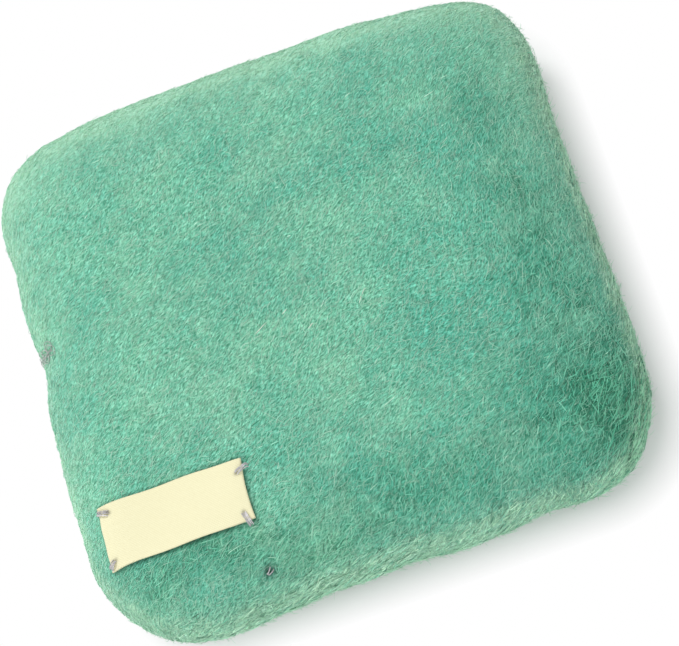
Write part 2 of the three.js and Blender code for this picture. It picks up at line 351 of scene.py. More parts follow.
# Materials: a noise's features to a metre, or to a millimetre on the label's own map, and a bump's
# height in metres and strength
STREAK_EDGES = (0.38, 0.62)  # noise between which a streak of the felt rises
GAP_EDGES = (0.44, 0.28)  # noise between which a gap deepens
GAP_DEPTH = 0.6
FELT_BUMP = (0.0003, 0.9)
FIBRE_UNEVENNESS = 900
FLEECE_STREAKS = 1100
FLEECE_CLOUDS = 60
FLEECE_SHADE = 0.72
FLEECE_BUMP = (0.0005, 0.6)
RIBBON_SLUBS = 0.9
RIBBON_YARNS = 6.0
RIBBON_SHADES = (0.86, 0.83, 0.74)  # red, green and blue left between its ribs, partly weave and partly painted shade
RIBBON_BUMP = (0.00012, 0.5)
THREAD_FIBRES = 5200
THREAD_WANDER = 700
THREAD_BUMP = (0.00008, 0.5)
PAPER_GRAIN = 300
PAPER_TONES = (0.93, 0.95)

# Photograph's view: angles in degrees, lengths in millimetres
VIEW_AZIMUTH = 9.8
VIEW_ELEVATION = 63.05
VIEW_ROLL = -28.53
VIEW_DISTANCE = 780.5
VIEW_ASIDE = 3.36
VIEW_UP = -5.58
VIEW_HEIGHT = 19.0
VIEW_LENS = 157.1
SENSOR_WIDTH = 36
NEAREST_VIEW = 10.0

# Lamps and floor: directions, and lengths in millimetres
KEY_FROM = (-0.38, 0.56, 0.74)
FILL_FROM = (-0.30, -0.78, 0.50)
LAMP_DISTANCE = 1200.0
KEY_SIZE = 450.0
FILL_SIZE = 900.0
FLOOR_REACH = 3000.0
FLOOR_DROP = 0.1  # keeps the floor off the plane of the mat's underside
SHADOW_SIDE = (5.0, 1.5, 0.0)  # way in which the shadow reaches further
FADE_OUTSIDE = 0.45  # share of the floor's fade to white that lies outside the mat's outline


# Settings


def setting(kind, **marks):
    """A maker of settings of one kind, each with its name, its description and its default."""

    def made(name, description, default):
        return kind(name=name, description=description, default=default, **marks)

    return made


length_setting = setting(bpy.props.FloatProperty, unit="LENGTH")
angle_setting = setting(bpy.props.FloatProperty, subtype="ANGLE")
share_setting = setting(bpy.props.FloatProperty, subtype="FACTOR")
number_setting = setting(bpy.props.FloatProperty)
count_setting = setting(bpy.props.IntProperty)
colour_setting = setting(bpy.props.FloatVectorProperty, subtype="COLOR")


class MatShape(bpy.types.PropertyGroup):
    """Sizes of the felted pad."""

    side: length_setting("Side", "Width across the rim", COVER_HIGH.x - COVER_LOW.x)
    height: length_setting("Height", "From the table to the crown", COVER_HIGH.z)
    rim_height: length_setting("Rim height", "From the table to the widest level", COVER_LOW.z)
    corner_radius: length_setting("Corner radius", "Radius of the rim's corners in plan", 0.027)
    wall: length_setting("Felt wall", "Thickness of the felted cover", 0.005)
    crown_plan: number_setting(
        "Crown plan power", "Squareness of the upper section towards the rim", 5.4
    )
    crown_rise: number_setting(
        "Crown rise power", "Squareness of the upper section towards the crown", 3.2
    )
    belly_plan: number_setting(
        "Belly plan power", "Squareness of the lower section towards the rim", 6.0
    )
    belly_rise: number_setting(
        "Belly rise power", "Squareness of the lower section towards the foot", 2.2
    )


class FeltLook(bpy.types.PropertyGroup):
    """Colours and fibres of the felt."""

    mint: colour_setting("Mint", "Lighter dye of the felt", (0.265, 0.690, 0.480))
    teal: colour_setting("Teal", "Deeper dye of the felt", (0.125, 0.540, 0.388))
    pale: colour_setting("Pale", "Lightest fibres", (0.57, 0.86, 0.70))
    # Pale felt of the blotches and of the tangle's wool, also painted round the rim as sheen and as
    # bounce light; the share below is how far that painted light pales the rim
    pale_felt_and_sheen: colour_setting("Haze", "Rubbed, paler felt round the rim", (0.49, 0.81, 0.59))
    rim_sheen_share: share_setting("Haze share", "How far the felt pales round the rim", 0.9)
    grain: angle_setting("Grain", "Heading of the nap on the crown", math.radians(36))
    nap_count: count_setting("Nap fibres", "Fibres that lie along the felt", 62000)
    nap_length: length_setting("Nap length", "Middle length of a lying fibre", 0.0024)
    nap_width: length_setting("Nap width", "Thickness of a lying fibre", 0.00013)
    fuzz_count: count_setting("Fuzz fibres", "Thin fibres that stand off the felt", 48000)
    fuzz_length: length_setting("Fuzz length", "Middle length of a loose fibre", 0.0024)
    fuzz_width: length_setting("Fuzz width", "Thickness of a loose fibre", 0.00009)
    # Darkening of the open felt: partly its deeper open texture, partly painted shade of the right
    # and front, which face away from the key lamp
    open_and_side_shade: number_setting(
        "Open shade", "How much darker the felt shows where its fibres are open", 0.64
    )
    fleece: colour_setting("Core wool", "Undyed wool of the batts", (0.79, 0.74, 0.60))


class LabelLook(bpy.types.PropertyGroup):
    """The ribbon and the thread that tacks it on."""

    length: length_setting("Length", "Length of the label as it lies", 0.0398)
    width: length_setting("Width", "Width of the ribbon", 0.017)
    thickness: length_setting("Thickness", "Thickness of the ribbon", 0.00035)
    fold: length_setting("Fold", "Length folded under at each end", 0.007)
    from_side: length_setting(
        "From the side", "From the mat's left side to the label's near end", 0.0077
    )
    from_front: length_setting(
        "From the front", "From the mat's front to the label's near edge", 0.01865
    )
    turn: angle_setting("Turn", "How far the label is turned on the mat", math.radians(-2.7))
    ribbon: colour_setting("Ribbon", "Cream of the ribbon", (0.87, 0.84, 0.57))
    thread: colour_setting("Thread", "Grey of the thread", (0.62, 0.60, 0.62))
    strand: length_setting("Strand", "Thickness of one strand of thread", 0.00034)


class StageLook(bpy.types.PropertyGroup):
    """Light and floor."""

    sky: number_setting("Sky", "Level of the light from all round", 0.66)
    key: number_setting("Key", "Level that the key lamp adds on a level white surface", 0.33)
    fill: number_setting("Fill", "Level that the fill lamp adds on a level white surface", 0.16)
    whiten: number_setting("Whiten", "How far the floor is lifted to white beside the mat", 0.08)
    fade: length_setting("Fade", "Distance over which the floor turns white beside the mat", 0.010)


# Surfaces


def eased(share):
    """A share from 0 to 1 that starts and ends gently: s * s * (3 - 2 * s)."""
    return share * share * (3 - 2 * share)


def bell(*offsets):
    """1 in the middle and less by each offset, which is in reaches: exp(-sum of their squares)."""
    return np.exp(-sum(offset**2 for offset in offsets))


def distance_run(steps):
    """Distance run at each point of a line, from the lengths of the steps between them."""
    return np.concatenate([[0], np.cumsum(steps)])


def plan_heading(turn):
    """Heading in plan at an angle from +X."""
    return np.array([math.cos(turn), math.sin(turn)])


def lattice_noise(points, pitch, height, seed):
    """Smooth noise from -height to height: random values on a cubic lattice of that pitch, blended
    between the eight corners round a point with eased weights."""
    table = np.random.default_rng(seed).uniform(-1, 1, (NOISE_CELLS,) * 3)
    place = np.asarray(points) / pitch
    cell = np.floor(place).astype(np.int64)
    part = eased(place - cell)
    total = np.zeros(place.shape[:-1])
    for corner in np.ndindex(2, 2, 2):
        index = (cell + corner) % NOISE_CELLS
        weight = np.prod(np.where(corner, part, 1 - part), axis=-1)
        total += weight * table[index[..., 0], index[..., 1], index[..., 2]]
    return height * total


def unit(vectors):
    """Vectors scaled to length 1."""
    return vectors / np.maximum(np.linalg.norm(vectors, axis=-1, keepdims=True), 1e-12)


def paler(tints, pale, share):
    """Tints moved by a share towards a pale one."""
    return tints * (1 - share[..., None]) + np.array(pale) * share[..., None]


class Pillow:
    """The mat's smooth surface in millimetres, moved in by inset.

    At plan angle a the rim lies rim(a) from the axis. The surface is where (distance from the axis
    / rim) ** plan + (height above or below the rim / half height) ** rise = 1, with one pair of
    powers above the rim and another below."""

    def __init__(self, shape, inset=0.0):
        self.half = shape.side / MM / 2 - inset
        self.radius = shape.corner_radius / MM - inset
        self.rim_z = shape.rim_height / MM
        self.floor = inset
        crown = shape.height / MM - self.rim_z - inset
        belly = self.rim_z + FOOT_CUT - inset
        self.halves = {
            1: (crown, shape.crown_plan, shape.crown_rise),
            -1: (belly, shape.belly_plan, shape.belly_rise),
        }

    def rim(self, angle):
        """A square with round corners in polar form, with bell-shaped waves added to it."""
        across, along = np.abs(np.cos(angle)), np.abs(np.sin(angle))
        centre = self.half - self.radius
        straight = self.half / np.maximum(across, along)
        bulge = self.radius**2 - (centre * (across - along)) ** 2
        corner = centre * (across + along) + np.sqrt(np.maximum(bulge, 0))
        reach = np.where(straight * np.minimum(across, along) > centre, corner, straight)
        for at, width, outwards in EDGE_WAVES:
            turn = (angle - math.radians(at) + math.pi) % (2 * math.pi) - math.pi
            reach = reach + outwards * bell(turn / math.radians(width))
        return reach

    def share(self, x, y):
        """Distance from the axis as a share of the rim's in that direction."""
        return np.hypot(x, y) / self.rim(np.arctan2(y, x))

    def level(self, points):
        """Zero on the surface, below zero inside."""
        share = self.share(points[..., 0], points[..., 1])
        rise = points[..., 2] - self.rim_z
        total = np.empty(share.shape)
        for side, (tall, plan, power) in self.halves.items():
            here = rise >= 0 if side > 0 else rise < 0
            total[here] = share[here] ** plan + (np.abs(rise[here]) / tall) ** power - 1
        return total

    def normal(self, points):
        """Direction in which level grows fastest."""
        steps = np.eye(3) * PROBE
        slopes = [self.level(points + step) - self.level(points - step) for step in steps]
        return unit(np.stack(slopes, axis=-1))

    def settle(self, points, normals):
        """Points moved along their normals until level is zero, by Newton's method."""
        for _ in range(SETTLE_STEPS):
            level = self.level(points)
            slope = (self.level(points + normals * PROBE) - level) / PROBE
            step = np.clip(-level / np.maximum(slope, 1e-4), -LONGEST_STEP, LONGEST_STEP)
            points = points + normals * step[..., None]
        return points

    def height(self, x, y):
        """Height of the crown over a place in plan."""
        tall, plan, power = self.halves[1]
        share = np.minimum(self.share(x, y), 1)
        return self.rim_z + tall * (1 - share**plan) ** (1 / power)

    def around(self, count):
        """Plan angles that split the rim into stretches of equal length."""
        dense = np.linspace(-math.pi, math.pi, RIM_POINTS * count + 1)
        rim = self.rim(dense)
        steps = np.hypot(np.diff(rim * np.cos(dense)), np.diff(rim * np.sin(dense)))
        run = distance_run(steps)
        return np.interp(np.linspace(0, run[-1], count, endpoint=False), run, dense)

    def rings(self, side, rows, angles):
        """Rings from the rim to just short of the pole, evenly spaced along the section. Round the
        section the share is cos(w) ** (2 / plan) and the height sin(w) ** (2 / rise). With each
        ring comes its plan rolled out flat, at its distance from the pole along the section."""
        tall, plan, power = self.halves[side]
        spread = np.tanh(np.linspace(-SECTION_CROWDING, SECTION_CROWDING, SECTION_POINTS))
        turn = (spread - spread[0]) / (spread[-1] - spread[0]) * math.pi / 2
        share = np.cos(turn).clip(0) ** (2 / plan)
        rise = tall * np.sin(turn) ** (2 / power)
        run = distance_run(np.hypot(np.diff(share * self.half), np.diff(rise)))
        stations = np.linspace(0, run[-1], rows, endpoint=False)
        share = np.interp(stations, run, share)[:, None]
        z = self.rim_z + side * np.interp(stations, run, rise)[:, None]
        rim = self.rim(angles)
        z = np.maximum(z, self.floor) * np.ones_like(rim)
        plan = np.stack([share * rim * np.cos(angles), share * rim * np.sin(angles)], axis=-1)
        flat = plan * ((run[-1] - stations)[:, None] / (share * self.half))[..., None]
        return np.concatenate([plan, z[..., None]], axis=-1), flat

    def pole(self, side):
        """The surface's middle point above or below."""
        return np.array([[0, 0, max(self.rim_z + side * self.halves[side][0], self.floor)]])


class LabelPlace:
    """Where the label lies: plan coordinates along and across it, in millimetres."""

    def __init__(self, shape, label):
        self.length = label.length / MM
        self.width = label.width / MM
        side = shape.side / MM
        self.middle = np.array(
            [
                label.from_side / MM + self.length / 2 - side / 2,
                label.from_front / MM + self.width / 2 - side / 2,
            ]
        )
        self.along = plan_heading(label.turn)
        self.across = np.array([-self.along[1], self.along[0]])

    def plan(self, along, across):
        """Plan place of a place on the label."""
        return self.middle + along[..., None] * self.along + across[..., None] * self.across

    def outside(self, points):
        """Distance in plan outside the label, less than zero under it."""
        offset = points[..., :2] - self.middle
        out_along = np.abs(offset @ self.along) - self.length / 2
        out_across = np.abs(offset @ self.across) - self.width / 2
        return np.maximum(out_along, out_across)

    def covers(self, points, margin):
        """From 0 outside to 1 under the label, over a soft edge that starts margin outside it."""
        share = np.clip((margin - self.outside(points)) / margin, 0, 1)
        return share * (points[..., 2] > LABEL_LEVEL)

    def beside(self, points):
        """From 0 to 1 towards the label's edges, as a bell across them, where their painted shadow
        falls.
        """
        return bell(self.outside(points) / LABEL_SHADOW_REACH) * (points[..., 2] > LABEL_LEVEL)

    def dent(self, points):
        """Depth to which the label presses the felt: a bell along and across it."""
        offset = points[..., :2] - self.middle
        along = (offset @ self.along + DENT_SHIFT) / DENT_ALONG
        across = offset @ self.across / DENT_ACROSS
        return LABEL_DENT * bell(along, across) * (points[..., 2] > LABEL_LEVEL)


def fastening_plan(shape, node):
    """Plan place of a fastening stitch."""
    return np.array(FASTENINGS[node]) - shape.side / MM / 2


class FeltSurface:
    """The felt as it is: the smooth pillow, lumpy, pressed in under the label and by stitches."""

    def __init__(self, scene):
        self.pillow = Pillow(scene.mat_shape)
        self.place = LabelPlace(scene.mat_shape, scene.mat_label)
        self.felt = scene.mat_felt
        plan = fastening_plan(scene.mat_shape, "fastening_front")
        self.hole = np.array([*plan, self.pillow.height(*plan)])

    def pit(self, points):
        """From 0 to 1 towards the middle of the front fastening stitch."""
        return np.exp(-np.sum((points - self.hole) ** 2, axis=-1) / PIT_REACH**2)

    def rise(self, points):
        """Height over the smooth surface, along its normal. Under the label only the broad lumps
        stay, and the felt is pressed to a bell-shaped hollow."""
        calm = self.place.covers(points, CALM_MARGIN)
        total = lattice_noise(points, *BROAD_LUMPS)
        for lumps in (SMALL_LUMPS, FINE_LUMPS):
            total += lattice_noise(points, *lumps) * (1 - calm)
        return total - self.place.dent(points) - PIT_DEPTH * self.pit(points)

    def on_crown(self, plan):
        """Points of the felt over places in plan, and the smooth surface's normals there."""
        z = self.pillow.height(plan[..., 0], plan[..., 1])
        points = np.concatenate([plan, z[..., None]], axis=-1)
        normals = self.pillow.normal(points)
        return points + normals * self.rise(points)[..., None], normals

    def tint(self, points):
        """Dye of the felt: teal to mint by three sizes of noise and the bells of the dye patches,
        the deepest of which, at the front right, are partly painted shade, with paler blotches."""
        patch = sum(lattice_noise(points, *noise) for noise in DYE_NOISE)
        x, y = points[..., 0], points[..., 1]
        for at_x, at_y, reach_x, reach_y, depth in DYE_PATCHES:
            patch = patch - depth * bell((x - at_x) / reach_x, (y - at_y) / reach_y)
        share = np.clip(DYE_MIDDLE + DYE_CONTRAST * patch, 0, 1)[..., None]
        dye = np.array(self.felt.teal) * (1 - share) + np.array(self.felt.mint) * share
        return paler(dye, self.felt.pale_felt_and_sheen, np.maximum(lattice_noise(points, *PALE_BLOTCHES), 0))

    def dimmed(self, points):
        """Share of the dye's brightness left under painted shade: little in the fastening's pit, and
        half where the felt tucks under the label's edges, as their painted shadow."""
        left = (1 - PIT_SHADE * self.pit(points)) * (1 - LABEL_SHADOW_DARKNESS * self.place.beside(points))
        return left[..., None]

    def openness_and_side_shade(self, points):
        """From 0 where the felt is dense to 1 where its fibres are open and it is painted darker,
        partly as shade of the sides away from the key lamp: a bell round the front right corner and
        weaker bands along the right and the front, all ragged. The bands fade towards the other
        corners, and the front one grows a little to the left."""
        x, y = (points[..., k] + lattice_noise(points, *RAGGED_EDGES[k]) for k in range(2))
        corner_x, corner_y = OPEN_CORNER
        corner = bell((x - corner_x) / OPEN_CORNER_REACH, (y - corner_y) / OPEN_CORNER_REACH)
        backward = np.clip((OPEN_RIGHT_END - y) / OPEN_RIGHT_END, 0, 1)
        right = OPEN_RIGHT_SHARE * bell((x - OPEN_RIGHT) / OPEN_RIGHT_REACH) * backward
        leftward = np.clip((x - OPEN_FRONT_END) / OPEN_FRONT_FADE, 0, 1)
        front = OPEN_FRONT_SHARE - OPEN_FRONT_FALL * x
        front = front * bell((y - OPEN_FRONT) / OPEN_FRONT_REACH) * leftward
        return np.maximum(corner, np.maximum(right, front))

    def painted_rim_sheen(self, points, normals):
        """How far the felt is painted paler, in patches, as light. It is the greater of two shares:
        painted sheen round the rim, which grows with the slope, most of all along the back, and is
        less where the fibres are open, and painted bounce light where the walls turn under, which
        starts higher up on the right and at the front left."""
        rim = np.sqrt(np.clip((1 - normals[..., 2]) / RIM_SLOPE, 0, 1))
        across, along = (points[..., k] / self.pillow.half for k in range(2))
        side = RIM_SHEEN - SIDE_SHEEN * np.abs(across) + BACKWARD_SHEEN * along
        side = side + BACK_SHEEN * np.maximum(along, 0) ** BACK_POWER
        ragged = 1 + lattice_noise(points, *SHEEN_PATCHES)
        left = np.maximum(-normals[..., 0], 0) * np.clip(EARLY_LEFT - along, 0, 1)
        start = UNDER_START + UNDER_EARLIER * np.maximum(np.maximum(normals[..., 0], 0), left)
        under = np.clip((start - normals[..., 2]) / UNDER_FADE * ragged, 0, 1)
        open_and_shaded = self.openness_and_side_shade(points)
        sheen_round_rim = rim * side * ragged * (1 - OPEN_SHEEN * open_and_shaded)
        share = np.maximum(sheen_round_rim, under ** (UNDER_POWER + OPEN_UNDER_POWER * open_and_shaded**2))
        return self.felt.rim_sheen_share * np.minimum(share, 1)

    def grain(self, points, normals):
        """Heading of the nap as a plan angle: the crown's, turned further in a bell at the right,
        and on the front wall, the more so the further right."""
        away = (points[..., :2] - SWIRL_MIDDLE) / SWIRL_REACH
        turn = SWIRL_TURN * np.exp(-np.sum(away**2, axis=-1))
        across = points[..., 0] / self.pillow.half
        turn = turn + WALL_TURN * (WALL_TURN_MIDDLE + across) * np.maximum(-normals[..., 1], 0)
        return self.felt.grain + turn


def crispness(painted_rim_sheen, normals):
    """How much of the contrast between fibres is left under the painted rim sheen: all of it on the
    walls that hands rub, which are rough."""
    return 1 - SHEEN_EVENING * np.sqrt(painted_rim_sheen) * (1 - handled(normals))


def steepness(normals):
    """From 0 on the level to 1 on the walls and underneath."""
    return np.clip((WALL_START - normals[..., 2]) / WALL_FADE, 0, 1)


def handled(normals):
    """How much hands rub a wall: from 0 at the back and left to 1 at the front right corner."""
    return np.clip(HANDLED_MIDDLE + normals @ HANDLED_FACING, 0, 1) * steepness(normals)


# Meshes


def ring_triangles(count, rings, wrap=False):
    """Triangles over rings of count points that follow one another, facing outwards where each
    ring runs anticlockwise about the way to the next."""
    k = np.arange(rings if wrap else rings - 1)[:, None]
    i = np.arange(count)
    j = (i + 1) % count
    after = (k + 1) % rings
    a, b, c, d = k * count + i, k * count + j, after * count + j, after * count + i
    first = np.stack([a, b, c], axis=-1).reshape(-1, 3)
    second = np.stack([a, c, d], axis=-1).reshape(-1, 3)
    return np.concatenate([first, second])


def skin_triangles(count, rings):
    """Triangles of a surface from a pole over rings of count points to another pole."""
    i = np.arange(count)
    j = (i + 1) % count
    last = 1 + (rings - 1) * count
    first_fan = np.stack([np.zeros_like(i), 1 + j, 1 + i], axis=-1)
    last_fan = np.stack([last + i, last + j, np.full_like(i, last + count)], axis=-1)
    return np.concatenate([first_fan, ring_triangles(count, rings) + 1, last_fan])


def closed_skin(start, rings, end):
    """Points and triangles of a surface from a pole over rings, each (count, 3), to a pole."""
    points = np.concatenate([start, rings.reshape(-1, 3), end])
    return points, skin_triangles(rings.shape[1], len(rings))


def joined(meshes):
    """Several point and triangle arrays as one."""
    points, triangles = [], []
    for part, faces in meshes:
        triangles.append(faces + sum(len(p) for p in points))
        points.append(part)
    return np.concatenate(points), np.concatenate(triangles)


def new_piece(name, points, triangles, material, tints=None, maps=None):
    """A mesh object at the origin from points in millimetres, riding on the mat. tints are colours
    of the points, with a fourth channel where the felt's crispness rides along, and maps holds
    UV places of the points by name."""
    mesh = bpy.data.meshes.new(name)
    mesh.vertices.add(len(points))
    mesh.vertices.foreach_set("co", np.ascontiguousarray(points * MM, np.float32).ravel())
    mesh.loops.add(triangles.size)
    corners = np.ascontiguousarray(triangles, np.int32).ravel()
    mesh.loops.foreach_set("vertex_index", corners)
    mesh.polygons.add(len(triangles))
    mesh.polygons.foreach_set("loop_start", np.arange(0, triangles.size, 3, dtype=np.int32))
    mesh.polygons.foreach_set("use_smooth", np.ones(len(triangles), bool))
    mesh.update(calc_edges=True)
    if tints is not None:
        colours = np.ones((len(points), 4), np.float32)
        colours[:, : tints.shape[1]] = tints
        layer = mesh.color_attributes.new("Tint", "FLOAT_COLOR", "POINT")
        layer.data.foreach_set("color", colours.ravel())
    for title, places in (maps or {}).items():
        layer = mesh.uv_layers.new(name=title)
        layer.uv.foreach_set("vector", np.ascontiguousarray(places[corners], np.float32).ravel())
    piece = bpy.data.objects.new(name, mesh)
    bpy.context.scene.collection.objects.link(piece)
    mesh.materials.append(material)
    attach(piece, "root")
    return piece


def fibre_mesh(paths, normals, widths, rolls):
    """Points and triangles of closed strands. Each path is a row of points: its ends are tips, and
    each point between carries a ring of three at half the width, turned by the strand's roll."""
    count, steps, _ = paths.shape
    ahead = unit(np.gradient(paths, axis=1))[:, 1:-1]
    aside = unit(np.cross(ahead, normals[:, None]))
    above = np.cross(aside, ahead)
    spin = rolls[:, None] + np.arange(FIBRE_SIDES) * 2 * math.pi / FIBRE_SIDES
    reach = widths[:, 1:-1, None, None] / 2
    turned = np.cos(spin)[:, None, :, None] * above[:, :, None]
    turned = turned + np.sin(spin)[:, None, :, None] * aside[:, :, None]
    rings = paths[:, 1:-1, None] + reach * turned
    points = np.concatenate([paths[:, :1], rings.reshape(count, -1, 3), paths[:, -1:]], axis=1)
    each = points.shape[1]
    one = skin_triangles(FIBRE_SIDES, steps - 2)
    triangles = (np.arange(count)[:, None, None] * each + one).reshape(-1, 3)
    return points.reshape(-1, 3), triangles, each


def fibre_cells(count, steps):
    """UV places that give each strand a cell of its own, so that a bake can keep its colour."""
    wide = math.ceil(math.sqrt(count))
    cell = np.stack(np.divmod(np.arange(count), wide), axis=-1)[:, None]
    along = np.repeat(np.arange(1, steps - 1), FIBRE_SIDES) / (steps - 1)
    along = np.concatenate([[0], along, [1]])
    sides = np.arange(FIBRE_SIDES) / (FIBRE_SIDES - 1)
    round_it = np.concatenate([[0.5], np.tile(sides, steps - 2), [0.5]])
    inner = CELL_MARGIN + (1 - 2 * CELL_MARGIN) * np.stack([along, round_it], axis=-1)
    return ((cell + inner) / wide).reshape(-1, 2)


def thread_mesh(path, normals, radius, turns, closed):
    """Two plies wound round a path: each ply is a tube whose middle circles the path at a share of
    the strand's radius."""
    count = len(path)
    if closed:
        ahead = unit(np.roll(path, -1, axis=0) - np.roll(path, 1, axis=0))
    else:
        ahead = unit(np.gradient(path, axis=0))
    aside = unit(np.cross(ahead, normals))
    above = np.cross(aside, ahead)
    share = np.arange(count) / (count if closed else count - 1)
    sides = np.arange(PLY_SIDES) * 2 * math.pi / PLY_SIDES
    plies = []
    for ply in range(2):
        wind = 2 * math.pi * (turns * share + ply / 2)
        out = np.cos(wind)[:, None] * above + np.sin(wind)[:, None] * aside
        over = np.cross(ahead, out)
        ring = np.cos(sides)[None, :, None] * out[:, None]
        ring = ring + np.sin(sides)[None, :, None] * over[:, None]
        tube = path[:, None] + radius * (PLY_OFFSET * out[:, None] + PLY_RADIUS * ring)
        if closed:
            plies.append((tube.reshape(-1, 3), ring_triangles(PLY_SIDES, count, wrap=True)))
        else:
            ends = tube.mean(axis=1)
            plies.append(closed_skin(ends[:1], tube, ends[-1:]))
    return joined(plies)


# Materials


class Socket:
    """An output of a node tree that takes part in arithmetic: each operation adds a Math node."""

    def __init__(self, nodes, output):
        self.nodes = nodes
        self.output = output

    def math(self, operation, first, second):
        return self.nodes.add("ShaderNodeMath", {"operation": operation}, {0: first, 1: second})

    def __add__(self, other):
        return self.math("ADD", self, other)

    def __radd__(self, other):
        return self.math("ADD", other, self)

    def __sub__(self, other):
        return self.math("SUBTRACT", self, other)

    def __rsub__(self, other):
        return self.math("SUBTRACT", other, self)

    def __mul__(self, other):
        return self.math("MULTIPLY", self, other)

    def __rmul__(self, other):
        return self.math("MULTIPLY", other, self)


class Nodes:
    """The node tree of a material or world."""

    def __init__(self, owner):
        self.owner = owner
        owner.use_nodes = True
        self.tree = owner.node_tree
        self.tree.nodes.clear()

    def add(self, kind, settings=None, inputs=None, output=0):
        """Adds a node, sets it up, fills its inputs with values or links, and gives one output."""
        made = self.tree.nodes.new(kind)
        for key, value in (settings or {}).items():
            setattr(made, key, value)
        for key, value in (inputs or {}).items():
            if isinstance(value, Socket):
                self.tree.links.new(value.output, made.inputs[key])
            else:
                made.inputs[key].default_value = value
        return Socket(self, made.outputs[output]) if made.outputs else None

    def mix(self, factor, first, second):
        """One colour to another."""
        settings = {"data_type": "RGBA", "clamp_factor": True}
        return self.add("ShaderNodeMix", settings, {0: factor, 6: first, 7: second}, 2)

    def vector(self, operation, *values, output=0):
        """An operation on colours or vectors."""
        inputs = dict(enumerate(values))
        return self.add("ShaderNodeVectorMath", {"operation": operation}, inputs, output)

    def scaled(self, vector, by):
        """A colour or vector times a value."""
        return self.add("ShaderNodeVectorMath", {"operation": "SCALE"}, {0: vector, "Scale": by})

    def tint(self, output="Color"):
        """The points' own tint, or its alpha, which holds the felt's crispness."""
        return self.add("ShaderNodeAttribute", {"attribute_name": "Tint"}, None, output)

    def place(self):
        """Object coordinates, in metres."""
        return self.add("ShaderNodeTexCoord", None, None, "Object")

    def noise(self, vector, scale, detail=2.0, rough=0.5):
        """Noise from 0 to 1 with so many features to a unit of the vector."""
        inputs = {"Vector": vector, "Scale": scale, "Detail": detail, "Roughness": rough}
        return self.add("ShaderNodeTexNoise", None, inputs)

    def ramp(self, value, low, high):
        """A value from low to high as 0 to 1, kept within them."""
        inputs = {"Value": value, "From Min": low, "From Max": high}
        return self.add("ShaderNodeMapRange", None, inputs)

    def bump(self, height, distance, strength):
        """Normal of a surface raised by height."""
        inputs = {"Height": height, "Distance": distance, "Strength": strength}
        return self.add("ShaderNodeBump", None, inputs)

    def seen(self):
        """1 where the camera looks, straight or through a mirror or glass."""
        rays = ("Is Camera Ray", "Is Glossy Ray", "Is Transmission Ray")
        camera, glossy, through = (self.add("ShaderNodeLightPath", None, None, ray) for ray in rays)
        return camera + glossy + through

    def surface(self, **inputs):
        """Principled surface: words in names are joined by underscores. Returns the material."""
        sockets = {key.replace("_", " ").title(): value for key, value in inputs.items()}
        shader = self.add("ShaderNodeBsdfPrincipled", None, sockets)
        self.add("ShaderNodeOutputMaterial", None, {"Surface": shader})
        return self.owner


def new_material(name):
    """Node tree of a new material."""
    return Nodes(bpy.data.materials.new(name))


def felt_material():
    """Felt under the nap: the points' tint, which holds the dye with painted rim sheen and painted
    shade, with fine streaks along the grain, partly painted lighter on top as light, and small dark
    gaps between the fibres, partly painted shade, on the felt rolled out flat in millimetres. Both
    are softer where the points are less crisp."""
    nodes = new_material("felted_wool")
    tint = nodes.tint()
    grain = nodes.add("ShaderNodeUVMap", {"uv_map": "Grain"})
    combed = [
        nodes.add(
            "ShaderNodeMapping",
            {"vector_type": "TEXTURE"},
            {"Vector": grain, "Rotation": (0, 0, math.radians(turn)), "Scale": (long, 1, 1)},
        )
        for turn, long in STREAKS
    ]
    first, second, third = (nodes.noise(drawn, STREAKS_TO_A_MM, detail=1.0) for drawn in combed)
    streak = nodes.ramp(0.5 * first + 0.5 * second, *STREAK_EDGES)
    gap = nodes.ramp(third, *GAP_EDGES)
    height = EVEN_HEIGHT + (streak - GAP_DEPTH * gap - EVEN_HEIGHT) * nodes.tint("Alpha")
    deep = nodes.vector("MULTIPLY", tint, tuple(1 - GAP_SHADE * DEEPENING))
    light = nodes.vector("MULTIPLY", tint, RAISED_TINT)
    return nodes.surface(
        base_color=nodes.mix(height, deep, light),
        roughness=0.95 - 0.1 * streak,
        normal=nodes.bump(height, *FELT_BUMP),
        sheen_weight=0.4,
        sheen_roughness=0.3,
    )


def fibre_material(name, sheen):
    """Single wool fibres, each with its own tint, which holds its dye with painted rim sheen and
    painted shade, a little uneven along its length.
    """
    nodes = new_material(name)
    uneven = nodes.noise(nodes.place(), FIBRE_UNEVENNESS, detail=1.0)
    return nodes.surface(
        base_color=nodes.scaled(nodes.tint(), 0.86 + 0.28 * uneven),
        roughness=0.7 + 0.2 * uneven,
        sheen_weight=sheen,
        sheen_roughness=0.3,
    )


def fleece_material(felt):
    """Carded wool: soft cloudy cream with combed streaks."""
    nodes = new_material("carded_wool")
    place = nodes.place()
    drawn = nodes.add("ShaderNodeMapping", None, {"Vector": place, "Scale": (0.15, 1, 1)})
    streak = nodes.noise(drawn, FLEECE_STREAKS, detail=3.0, rough=0.6)
    cloud = nodes.noise(place, FLEECE_CLOUDS)
    warm = [*felt.fleece, 1]
    dull = [*(FLEECE_SHADE * channel for channel in felt.fleece), 1]
    return nodes.surface(
        base_color=nodes.mix(0.6 * streak + 0.4 * cloud, dull, warm),
        roughness=0.9 + 0.1 * cloud,
        normal=nodes.bump(streak, *FLEECE_BUMP),
        sheen_weight=0.3,
    )


